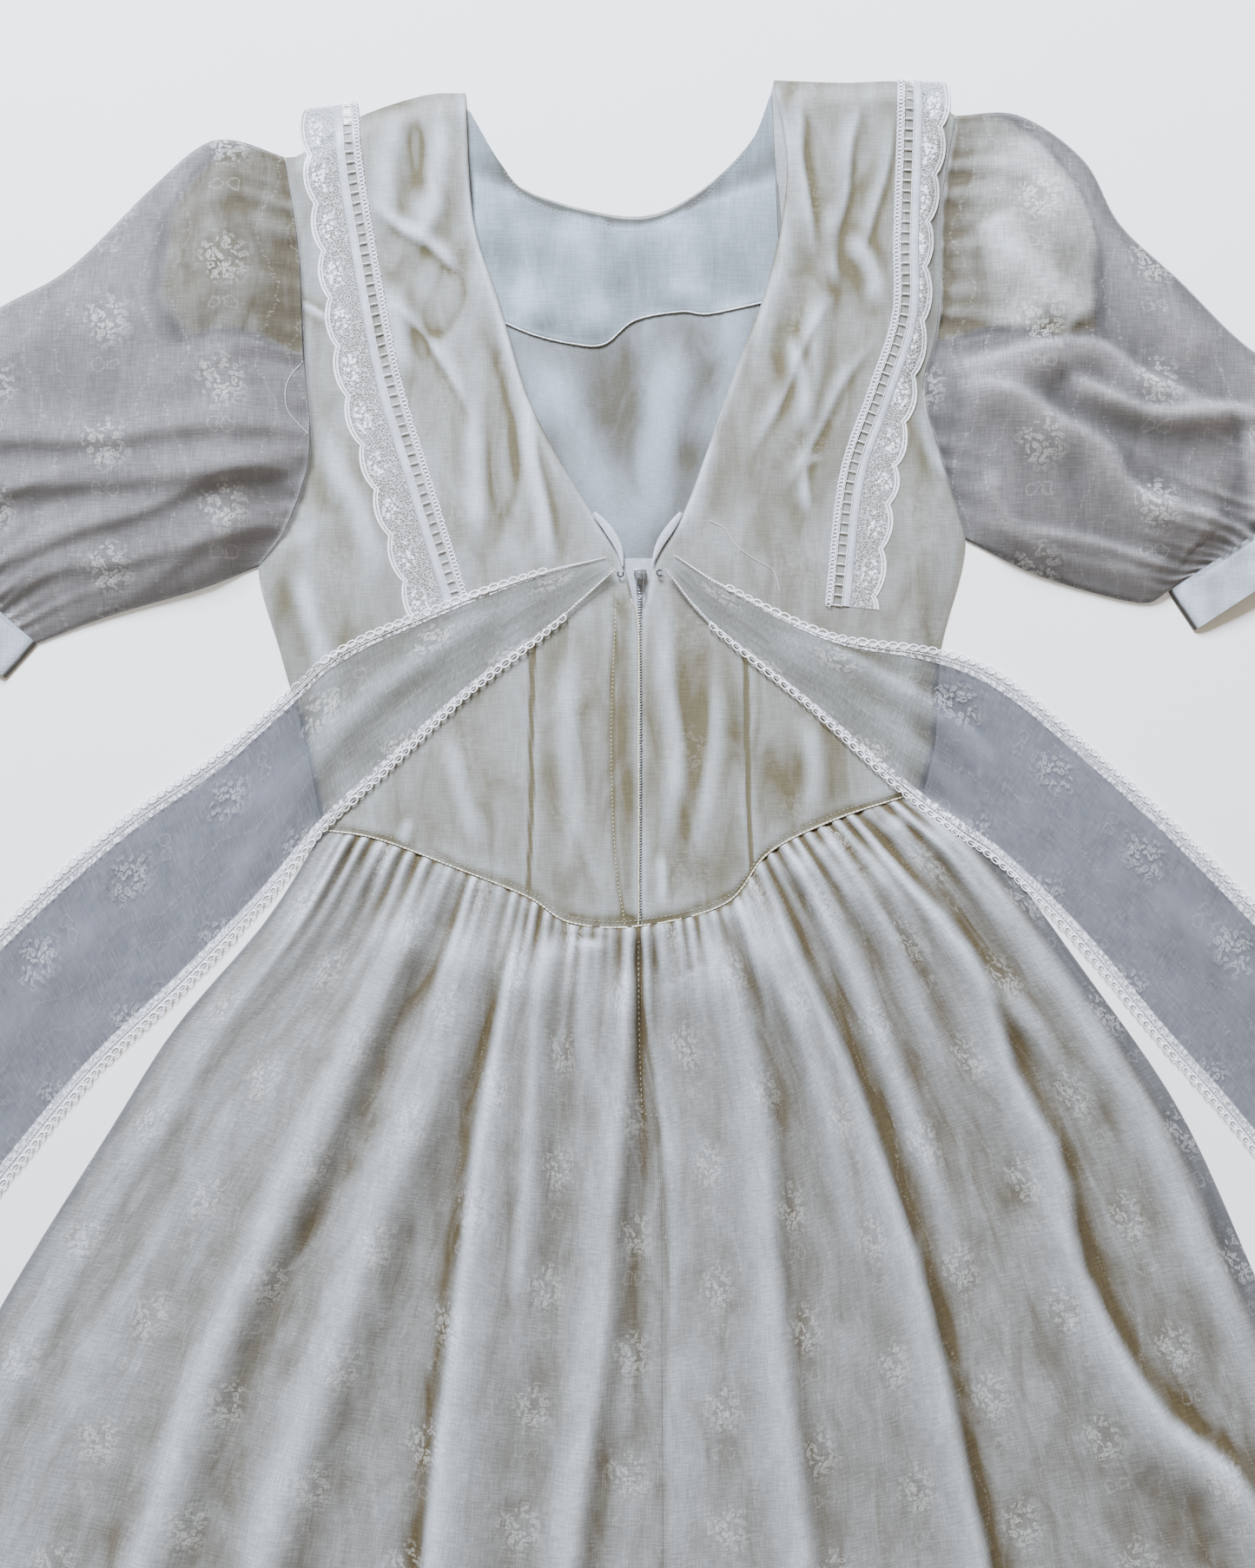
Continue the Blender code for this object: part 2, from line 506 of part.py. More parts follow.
def skirt_pieces(shop, cloth, lining):
    """The gathered back of the skirt in two halves, and the lining that shows through it."""
    half = SKIRT_GATHERS
    down = np.concatenate([SKIRT_SEAM_ROWS, even(SKIRT_ROWS)[2:] ** SKIRT_ROW_POWER])
    across = even(half)
    drop = np.array([0, GAP])
    seam = smooth_line(CENTRE_SEAM, down) - drop
    left = patch(waist_line(WAIST_LEFT, LEFT_KNOTS, across) - drop, smooth_line(HEM_LEFT, across) - drop,
                 smooth_line(SKIRT_LEFT, down) - drop, seam, across, down)
    right = patch(waist_line(WAIST_RIGHT, RIGHT_KNOTS, across) - drop, smooth_line(HEM_RIGHT, across) - drop,
                  seam, smooth_line(SKIRT_RIGHT, down) - drop, across, down)
    whole = np.concatenate([left, right[:, 1:]], axis=1)
    whole_across = np.arange(whole.shape[1]) / (whole.shape[1] - 1)
    side = soft_step(whole_across, 0, SKIRT_RISE) * soft_step(1 - whole_across, 0, SKIRT_RISE)
    gathers = GATHER_HEIGHT * (np.arange(whole.shape[1]) % 2) * np.exp(-GATHER_DECAY * down)[:, None]
    lift = SKIRT_LIFT + SEAM_LIFT * np.exp(-SEAM_LIFT_DECAY * down)[:, None]
    height = LAYER + side[None, :] * (lift + fold_field(down, whole) + gathers)
    edge_lift = soft_step(whole_across, 0, EDGE_RISE) * soft_step(1 - whole_across, 0, EDGE_RISE)
    height = np.maximum(height, LAYER + edge_lift[None, :] * SKIRT_LIFT)

    wide = LINING_COLUMN_STEP
    columns = range(0, whole.shape[1], wide)
    under_height = np.empty((len(down), len(columns)))
    for row in range(len(down)):
        for place, column in enumerate(columns):
            near = height[max(row - 1, 0) : row + 2, max(column - wide, 0) : column + wide + 1]
            under_height[row, place] = near.min() - LAYER
    under_height = np.maximum(under_height, LAYER)[:, 1:-1]
    under = moved_in(whole[:, ::wide][:, 1:-1], LINING_TOP_INSET, LINING_HEM_INSET)
    shop.sheet("skirt_lining", with_height(under, under_height), lining)

    seam_half = np.array([GAP / 2, 0])
    left_points, right_points = whole[:, : half + 1].copy(), whole[:, half:].copy()
    left_points[:, -1] -= seam_half
    right_points[:, 0] += seam_half
    shop.sheet("back_skirt_left", with_height(left_points, height[:, : half + 1]), cloth)
    shop.sheet("back_skirt_right", with_height(right_points, height[:, half:]), cloth)


def sleeve_rings(plan, upper, lower_columns):
    """Outer and inner rings of a flattened tube, with folded edges and a flat underside."""
    edge_z = (WALL + LAYER) / 2
    outer, inner = [], []
    for row, heights in zip(plan, upper):
        first = (row[1] - row[0]) / np.linalg.norm(row[1] - row[0])
        last = (row[-2] - row[-1]) / np.linalg.norm(row[-2] - row[-1])
        middle = row[1:-1]
        under = row[lower_columns[::-1]]
        outer.append(np.vstack([[*row[0], edge_z], np.c_[middle, heights[1:-1] + WALL], [*row[-1], edge_z],
                                np.c_[under, np.zeros(len(under))]]))
        start, end = row[0] + TUBE_EDGE_INSET * first, row[-1] + TUBE_EDGE_INSET * last
        inner.append(np.vstack([[*start, edge_z], np.c_[middle, heights[1:-1]], [*end, edge_z],
                                np.c_[under, np.full(len(under), WALL)]]))
    return np.array(outer), np.array(inner)


def sleeve(shop, side, armhole, top, low, cloth, under_cloth, cuff_cloth):
    """A puffed sleeve gathered into its armhole and its cuff, with the pouf that holds up its head."""
    along = np.concatenate([SLEEVE_SEAM_ROWS, np.linspace(SLEEVE_ROW_START, 1, SLEEVE_EVEN_ROWS)])
    across = even(SLEEVE_COLUMNS)
    sign = -1 if side == "left" else 1
    stitches = armhole_line(armhole)
    seam = np.stack([np.interp(across, even(ARMHOLE_STEPS), column) for column in stitches.T], axis=1)
    seam += (sign * GAP, 0)
    plan = patch(seam, smooth_line([top[-1], low[-1]], across),
                 smooth_line([tuple(seam[0])] + top[1:], along),
                 smooth_line([tuple(seam[-1])] + low[1:], along), across, along)
    rounding = np.sin(np.pi * across) ** SLEEVE_ROUND
    fall = 1 - PUFF_FALL * soft_step(along, PUFF_FALL_START, CUFF_START)
    profile = PUFF_HEIGHT * soft_step(along, PUFF_START, PUFF_FULL) * fall
    profile += (CUFF_HEIGHT - profile) * soft_step(along, CUFF_START, 1.0)
    share = np.stack(np.broadcast_arrays(along[:, None], across[None, :]), axis=2)
    ridges = ridge_height(share, SLEEVE_RIDGES) * soft_step(along, 0, SLEEVE_RIDGE_START)[:, None]
    fade = np.exp(-SLEEVE_GATHER_DECAY * along) + np.exp(-SLEEVE_GATHER_DECAY * (1 - along))
    gathers = SLEEVE_GATHER_HEIGHT * (np.arange(len(across)) % 2) * fade[:, None]
    upper = LAYER + (profile[:, None] + ridges + gathers) * rounding
    step = SLEEVE_UNDER_STEP
    lower_columns = np.r_[1, np.arange(step, SLEEVE_COLUMNS, step), SLEEVE_COLUMNS - 1]
    outer, inner = sleeve_rings(plan, upper, lower_columns)
    shop.tube(f"sleeve_{side}", outer, inner, cloth)

    head = with_height(plan, np.maximum(upper - LAYER - HEAD_DROP, LAYER))
    shop.sheet(f"sleeve_head_{side}", head[HEAD_ROWS, HEAD_COLUMNS], under_cloth)
    cuff(shop, side, np.array(top[-1]), np.array(low[-1]), cuff_cloth)


def cuff(shop, side, top, low, cloth):
    """The plain band that a sleeve is gathered into, slightly open."""
    seam = low - top
    out = np.array([seam[1], -seam[0]]) / np.linalg.norm(seam)
    out = out if out[1] < 0 else -out
    steps = np.array([GAP, CUFF_DEPTH / 2, CUFF_DEPTH])
    plan = top + CUFF_COLUMNS[None, :, None] * seam + steps[:, None, None] * out
    upper = LAYER + CUFF_HEIGHT * np.sqrt(np.sin(np.pi * CUFF_COLUMNS)) * np.ones((len(steps), 1))
    outer, inner = sleeve_rings(plan, upper, CUFF_UNDER_COLUMNS)
    shop.tube(f"cuff_{side}", outer, inner, cloth)


def shoulder_trim(shop, side, table, lace):
    """Beading with a ladder of open gaps, and a scalloped lace sewn to its outer edge."""
    sign = -1 if side == "left" else 1
    length = line_length(table)
    count = int(length // LADDER_PITCH)
    starts = np.arange(count) * LADDER_PITCH
    shares = np.sort(np.r_[starts, starts + LADDER_PITCH - LADDER_GAP, count * LADDER_PITCH]) / length
    widths = np.cumsum([0, BRAID_WIDTH, LADDER_WIDTH, TAPE_WIDTH])
    plan = beside(table, shares, np.broadcast_to(widths, (len(shares), len(widths))), sign)
    holes = [(2 * k + 1, 1) for k in range(count)]
    lowest = 3 * LAYER
    points = with_height(plan, shop.laid_on(plan, lowest, TRIM_SAMPLES))
    shop.sheet(f"beading_{side}", points, lace, TRIM_WALL, holes)

    lace_rows = even(int(length / SCALLOP_PITCH * SCALLOP_ROWS))
    reach = smooth_line(table, lace_rows)[:, 2]
    wave = SCALLOP_DEPTH * np.abs(np.sin(np.pi * lace_rows * length / SCALLOP_PITCH))
    inner_edge = np.full(len(reach), widths[-1] + GAP)
    outer_edge = np.maximum(reach - SCALLOP_DEPTH + wave, inner_edge + LACE_LEAST_WIDTH)
    offsets = np.stack([inner_edge, (inner_edge + outer_edge) / 2, outer_edge], axis=1)
    plan = beside(table, lace_rows, offsets, sign)
    points = with_height(plan, shop.laid_on(plan, lowest, TRIM_SAMPLES))
    shop.sheet(f"shoulder_lace_{side}", points, lace, TRIM_WALL)


def beside(table, shares, offsets, sign):
    """Plan points at given distances to one side of a line."""
    line = smooth_line(table, shares)[:, :2]
    forward = np.gradient(line, axis=0)
    forward /= np.linalg.norm(forward, axis=1)[:, None]
    outward = np.stack([forward[:, 1], -forward[:, 0]], axis=1)
    outward *= sign * np.sign(outward[:, :1])
    return line[:, None] + offsets[..., None] * outward[:, None]


def sash(shop, side, table, cloth, lace):
    """A sash tie from the foot of the open back, over the side of the dress and on to the floor."""
    rows = even(SASH_ROWS)
    edges = smooth_line(table, rows)
    upper, lower = edges[:, None, :2], edges[:, None, 2:]
    share = SASH_LACE / SASH_WIDTH
    gap_share = np.minimum(GAP / np.linalg.norm(upper - lower, axis=2), LACE_GAP_MOST)
    spans = {
        "": (share + (1 - 2 * share) * even(SASH_COLUMNS)) * np.ones((len(rows), 1)),
        "_lace_upper": np.concatenate([0 * gap_share, share - gap_share], axis=1),
        "_lace_lower": np.concatenate([1 - share + gap_share, 1 + 0 * gap_share], axis=1),
    }
    samples = even(SASH_SAMPLES)
    plan = upper + samples[None, :, None] * (lower - upper)
    root = ROOT_HEIGHT * np.exp(-rows / ROOT_DECAY)[:, None]
    height = shop.laid_on(plan, root, SASH_REACH, 2 * GAP)
    for ending, across in spans.items():
        points = upper + across[..., None] * (lower - upper)
        heights = np.array([np.interp(a, samples, h) for a, h in zip(across, height)])
        finish = lace if ending else cloth
        shop.sheet(f"sash_{side}{ending}", with_height(points, heights), finish)


def box_object(shop, name, size, centre, finish, bevel=0.0):
    """A box as its own object, with rounded edges where asked."""
    bm = bmesh.new()
    bmesh.ops.create_cube(bm, size=1)
    bmesh.ops.scale(bm, verts=bm.verts, vec=Vector(size) * MM)
    obj = shop.finish_mesh(name, bm, finish, lies=False)
    obj.location = Vector(centre) * MM
    if bevel:
        rounded = obj.modifiers.new("rounded", "BEVEL")
        rounded.width = bevel * MM
        rounded.segments = 2
        rounded.limit_method = "NONE"
    return obj


def cut(obj, cutter, operation="DIFFERENCE"):
    step = obj.modifiers.new("cut" if operation == "DIFFERENCE" else "join", "BOOLEAN")
    step.operation = operation
    step.solver = "EXACT"
    step.object = cutter
    cutter.hide_render = True
    cutter.display_type = "WIRE"


def zip_pieces(shop, helpers, tape_cloth, metal):
    """The zip's tape, its slider with the bridge, and the tab that swings on it."""
    tape_length = ZIP_TOP_Y - ZIP_LOW_Y
    box_object(shop, "zip_tape", (2 * TAPE_HALF, tape_length, TRIM_WALL),
               (ZIP_X, ZIP_TOP_Y - tape_length / 2, TAPE_Z + GAP + TRIM_WALL / 2), tape_cloth)
    slider_low = TAPE_Z + TRIM_WALL + 2 * GAP
    slider_top = slider_low + SLIDER_SIZE[2]
    slider_place = (ZIP_X, SLIDER_Y, (slider_low + slider_top) / 2)
    slider = box_object(shop, "zip_slider", SLIDER_SIZE, slider_place, metal, SLIDER_BEVEL)
    axis_z = slider_top + BAR / 2 + BAR_SLACK
    pivot = (ZIP_X, SLIDER_Y, axis_z)
    bridge_top = axis_z + BAR / 2 + BAR_SLACK + BRIDGE_WALL
    bridge_size = (BRIDGE_WIDTH, BRIDGE_LENGTH, bridge_top - slider_top + BRIDGE_SINK)
    bridge_place = (ZIP_X, SLIDER_Y, bridge_top - bridge_size[2] / 2)
    bridge = box_object(helpers, "bridge_block", bridge_size, bridge_place, metal)
    cut(bridge, box_object(helpers, "bridge_tunnel", TUNNEL_SIZE, pivot, metal))
    cut(slider, bridge, "UNION")

    tab = box_object(shop, "zip_pull", TAB_SIZE, pivot, metal)
    for vert in tab.data.vertices:
        vert.co.y -= (TAB_SIZE[1] - BAR) / 2 * MM
    slot_place = (ZIP_X, SLIDER_Y - (BAR + TAB_SLOT[1]) / 2, axis_z)
    cut(tab, box_object(helpers, "tab_slot", TAB_SLOT, slot_place, metal))


def fastening(shop, metal):
    """A wire hook and its eye at the two top corners of the zip."""
    for name, centre_x, centre_y, turn in WIRE_LOOPS:
        curve = bpy.data.curves.new(name, "CURVE")
        curve.dimensions = "3D"
        curve.bevel_depth = WIRE_RADIUS * MM
        curve.bevel_resolution = 1
        curve.use_fill_caps = True
        spline = curve.splines.new("POLY")
        spline.points.add(LOOP_STEPS)
        below = []
        for share, point in zip(even(LOOP_STEPS), spline.points):
            angle = turn + LOOP_TURN * share
            x, y = LOOP_RADIUS * math.cos(angle), LOOP_RADIUS * math.sin(angle)
            point.co = (x * MM, y * MM, 0, 1)
            below.append(shop.top_at(centre_x + LOOP_SEAT_REACH * x, centre_y + LOOP_SEAT_REACH * y))
        obj = shop.add(name, curve, metal)
        obj.location = Vector((centre_x, centre_y, max(below) + GAP + WIRE_RADIUS)) * MM


def build():
    clear_scene()
    root = bpy.data.objects.new("dress_origin", None)
    root.location.y = ORIGIN_Y * MM
    parts, helper_collection = make_collection("dress"), make_collection("cutters")
    parts.objects.link(root)
    shop = Wardrobe(parts, root)
    helpers = Wardrobe(helper_collection, root)

    body = material("cream_voile", "DCD8C8", 0.8)
    sheer = material("sheer_floral_voile", "D8D3BE", 0.75)
    sleeve_sheer = material("sheer_sleeve_voile", "C2BDB4", 0.75)
    lining = material("ivory_lining", "D6D4C8", 0.6)
    white_lining = material("white_lining", "CDD3D5", 0.5)
    facing = material("white_facing", "D2D5D6", 0.7)
    lace = material("white_lace", "E4E3E6", 0.8)
    cuff_cloth = material("cuff_cloth", "CFCBC8", 0.7)
    metal = material("zip_metal", "9AA0A8", 0.3, 1.0)

    front_pieces(shop, body, white_lining, facing)
    back_bodice(shop, body)
    skirt_pieces(shop, sheer, lining)
    sleeve(shop, "left", ARMHOLE_LEFT, SLEEVE_TOP_LEFT, SLEEVE_LOW_LEFT, sleeve_sheer, body, cuff_cloth)
    sleeve(shop, "right", ARMHOLE_RIGHT, SLEEVE_TOP_RIGHT, SLEEVE_LOW_RIGHT, sleeve_sheer, body, cuff_cloth)
    shoulder_trim(shop, "left", TRIM_LEFT, lace)
    shoulder_trim(shop, "right", TRIM_RIGHT, lace)
    sash(shop, "left", SASH_LEFT, sheer, lace)
    sash(shop, "right", SASH_RIGHT, sheer, lace)
    zip_pieces(shop, helpers, facing, metal)
    fastening(shop, metal)


build()
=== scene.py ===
import math

import bmesh
import bpy
import numpy as np
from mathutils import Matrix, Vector
from mathutils.bvhtree import BVHTree


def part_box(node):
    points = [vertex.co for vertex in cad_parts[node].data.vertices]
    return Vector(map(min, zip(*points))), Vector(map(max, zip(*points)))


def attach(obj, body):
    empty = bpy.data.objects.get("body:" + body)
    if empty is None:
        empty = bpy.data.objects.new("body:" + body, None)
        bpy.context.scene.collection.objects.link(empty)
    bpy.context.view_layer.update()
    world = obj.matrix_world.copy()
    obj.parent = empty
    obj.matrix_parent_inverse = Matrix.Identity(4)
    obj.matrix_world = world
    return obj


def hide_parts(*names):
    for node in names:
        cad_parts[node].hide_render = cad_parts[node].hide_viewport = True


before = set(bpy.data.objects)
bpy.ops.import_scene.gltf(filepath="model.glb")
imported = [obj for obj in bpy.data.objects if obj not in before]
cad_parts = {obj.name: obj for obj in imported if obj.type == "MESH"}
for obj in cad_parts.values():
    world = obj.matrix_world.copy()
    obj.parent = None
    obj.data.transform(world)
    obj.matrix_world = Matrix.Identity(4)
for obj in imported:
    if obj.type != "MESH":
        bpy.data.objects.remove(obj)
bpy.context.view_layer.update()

# The flat front of the dress. It is plain woven cotton voile, cut in a bodice and a skirt that
# meet at the curved waist seam. It lies on the floor and carries everything else.
MM = 0.001
WAIST_PLACE = 145.4
CLOTH_UV = "cloth"
# Outlines in plan: x and y in millimetres from the middle of the waist seam.
SHOULDER_LEFT = [(-208.2, 453.8), (-199, 456), (-166.7, 476.9), (-127.2, 490.3), (-102, 492)]
SHOULDER_RIGHT = [(187, 478.5), (170, 491), (153.8, 498.5), (120, 498), (80, 499.5)]
ARMHOLE_LEFT = [
    (-208.2, 453.8), (-200, 400), (-196.9, 338.5), (-193.3, 281), (-206.2, 237.9), (-224.1, 212.3)]
ARMHOLE_RIGHT = [(187, 478.5), (178.5, 423.6), (176.4, 356.9), (167.7, 316.4), (177.4, 278.5), (192.8, 228)]
SIDE_LEFT = [(-224.1, 212.3), (-210.8, 160), (-197.4, 111.3), (-186.2, 56.4)]
SIDE_RIGHT = [(192.8, 228), (178.5, 164.6), (174.9, 111.3), (167.7, 79.5)]
WAIST_LEFT = [(-186.2, 56.4), (-153.8, 51.3), (-108.2, 34.4), (-65.6, 17.4), (-40, 2), (1, 0)]
WAIST_RIGHT = [(1, 0), (51.3, 13.3), (76.9, 43.1), (116.9, 63.1), (167.7, 79.5)]
NECK_FRONT = [
    (-102, 484), (-82.1, 451.3), (-62.6, 432.8), (-3.6, 419), (32.8, 431.8), (66.2, 463.1), (80, 494)]
HEM_SIDE_Y, HEM_Y = -748.0, -790.0
SKIRT_LEFT = [
    (-186.2, 56.4), (-220.5, 2.6), (-272.8, -59), (-310.8, -118.5), (-376.9, -225.6), (-430, -330),
    (-480, -450), (-520, -570), (-556, HEM_SIDE_Y)]
SKIRT_RIGHT = [
    (167.7, 79.5), (212.8, 40.5), (262.6, -25.6), (319.5, -108.7), (364.1, -206.7), (412, -320),
    (458, -440), (502, -560), (548, HEM_SIDE_Y)]
HEM_LEFT = [(-556, HEM_SIDE_Y), (-300, -778), (14, HEM_Y)]
HEM_RIGHT = [(14, HEM_Y), (310, -778), (548, HEM_SIDE_Y)]
FRONT_Z = 0.4
SEAM_GAP = 0.3
laid = []


def smooth_line(table, shares):
    """Points on a smooth curve through the rows of a table, at shares of its length."""
    points = np.array(table, float)
    ends = np.vstack([2 * points[0] - points[1], points, 2 * points[-1] - points[-2]])
    steps = np.linspace(0, 1, 24, endpoint=False)[:, None]
    runs = []
    for before, start, end, after in zip(ends, ends[1:], ends[2:], ends[3:]):
        slope_in, slope_out = (end - before) / 2, (after - start) / 2
        cubic = 2 * (start - end) + slope_in + slope_out
        square = 3 * (end - start) - 2 * slope_in - slope_out
        runs.append(((cubic * steps + square) * steps + slope_in) * steps + start)
    fine = np.vstack([*runs, points[-1:]])
    lengths = np.r_[0, np.cumsum(np.linalg.norm(np.diff(fine[:, :2], axis=0), axis=1))]
    wanted = np.asarray(shares) * lengths[-1]
    return np.stack([np.interp(wanted, lengths, column) for column in fine.T], axis=1)


def even(count):
    """Shares from 0 to 1 in the given number of equal steps."""
    return np.linspace(0, 1, count + 1)


def panel(upper, lower, start, end, across, down):
    """Plan points of a panel from the points of its top, bottom, left and right edges."""
    u, v = across[None, :, None], down[:, None, None]
    ruled = (1 - v) * upper[None] + v * lower[None] + (1 - u) * start[:, None] + u * end[:, None]
    corners = (1 - v) * ((1 - u) * upper[0] + u * upper[-1]) + v * ((1 - u) * lower[0] + u * lower[-1])
    return ruled - corners


def soft_step(value, start, end):
    """From 0 at the start to 1 at the end, with no sudden change of slope."""
    share = np.clip((value - start) / (end - start), 0, 1)
    return share * share * (3 - 2 * share)


def soften(heights, rounds):
    """Heights on a grid, averaged with their neighbours."""
    for _ in range(rounds):
        wide = np.pad(heights, 1, mode="edge")
        heights = (wide[:-2, 1:-1] + wide[2:, 1:-1] + wide[1:-1, :-2] + wide[1:-1, 2:] + 2 * heights) / 6
    return heights


def in_scene(name, data):
    """A new object at the origin with the given mesh, light, curve or camera."""
    obj = bpy.data.objects.new(name, data)
    bpy.context.scene.collection.objects.link(obj)
    return obj


def lay(name, plan, heights, finish, weave=None, marks=None, closed=False, base=True):
    """A thin cloth piece from its grid of plan points and heights, in millimetres.

    weave gives each point its place on the flat cloth. marks are named values for the material.
    """
    rows, columns = plan.shape[:2]
    points = np.dstack([plan, np.broadcast_to(heights, (rows, columns))]) + (0, WAIST_PLACE, 0)
    flat_points = points.reshape(-1, 3) * MM
    index = np.arange(rows * columns).reshape(rows, columns)
    if closed:
        index = np.c_[index, index[:, :1]]
    quads = np.stack([index[:-1, :-1], index[1:, :-1], index[1:, 1:], index[:-1, 1:]], axis=2).reshape(-1, 4)
    corners = flat_points[quads[:, :3]][:, :, :2]
    turn = np.cross(corners[:, 1] - corners[:, 0], corners[:, 2] - corners[:, 0])
    if turn[: len(turn) // 2].sum() < 0:
        quads = quads[:, ::-1]
    mesh = bpy.data.meshes.new(name)
    mesh.from_pydata(flat_points.tolist(), [], quads.tolist())
    spread = (plan if weave is None else weave).reshape(-1, 2) * MM
    uv = mesh.uv_layers.new(name=CLOTH_UV)
    loops = np.empty(len(mesh.loops), int)
    mesh.loops.foreach_get("vertex_index", loops)
    uv.data.foreach_set("uv", spread[loops].ravel())
    for mark, values in (marks or {}).items():
        layer = mesh.attributes.new(mark, "FLOAT", "POINT")
        layer.data.foreach_set("value", np.broadcast_to(values, (rows, columns)).ravel().astype(np.float32))
    mesh.shade_smooth()
    mesh.materials.append(finish)
    obj = in_scene(name, mesh)
    if base:
        laid.append(BVHTree.FromPolygons(flat_points.tolist(), quads.tolist()))
    return obj


def linear(hex_colour):
    """An sRGB hex colour as the linear values that a shader takes."""
    channels = [int(hex_colour[i : i + 2], 16) / 255 for i in (0, 2, 4)]
    return (*[c / 12.92 if c <= 0.04045 else ((c + 0.055) / 1.055) ** 2.4 for c in channels], 1.0)


MATH, VECTOR_MATH, MAP_RANGE = "ShaderNodeMath", "ShaderNodeVectorMath", "ShaderNodeMapRange"
NOISE, VORONOI, MAPPING = "ShaderNodeTexNoise", "ShaderNodeTexVoronoi", "ShaderNodeMapping"
MIX, ATTRIBUTE, JOIN_XYZ = "ShaderNodeMix", "ShaderNodeAttribute", "ShaderNodeCombineXYZ"
BUMP, SURFACE, OUTPUT = "ShaderNodeBump", "ShaderNodeBsdfPrincipled", "ShaderNodeOutputMaterial"
# A Mix node's sockets for colours.
SHARE, FIRST, SECOND, MIXED = 0, 6, 7, 2


def add(tree, kind, links=(), **settings):
    """Adds one node with its settings, and links or sets its inputs."""
    made = tree.nodes.new(kind)
    for setting, value in settings.items():
        setattr(made, setting, value)
    for place, value in links.items() if isinstance(links, dict) else enumerate(links):
        if isinstance(value, bpy.types.Node):
            value = value.outputs[0]
        if isinstance(value, bpy.types.NodeSocket):
            tree.links.new(value, made.inputs[place])
        elif value is not None:
            made.inputs[place].default_value = value
    return made


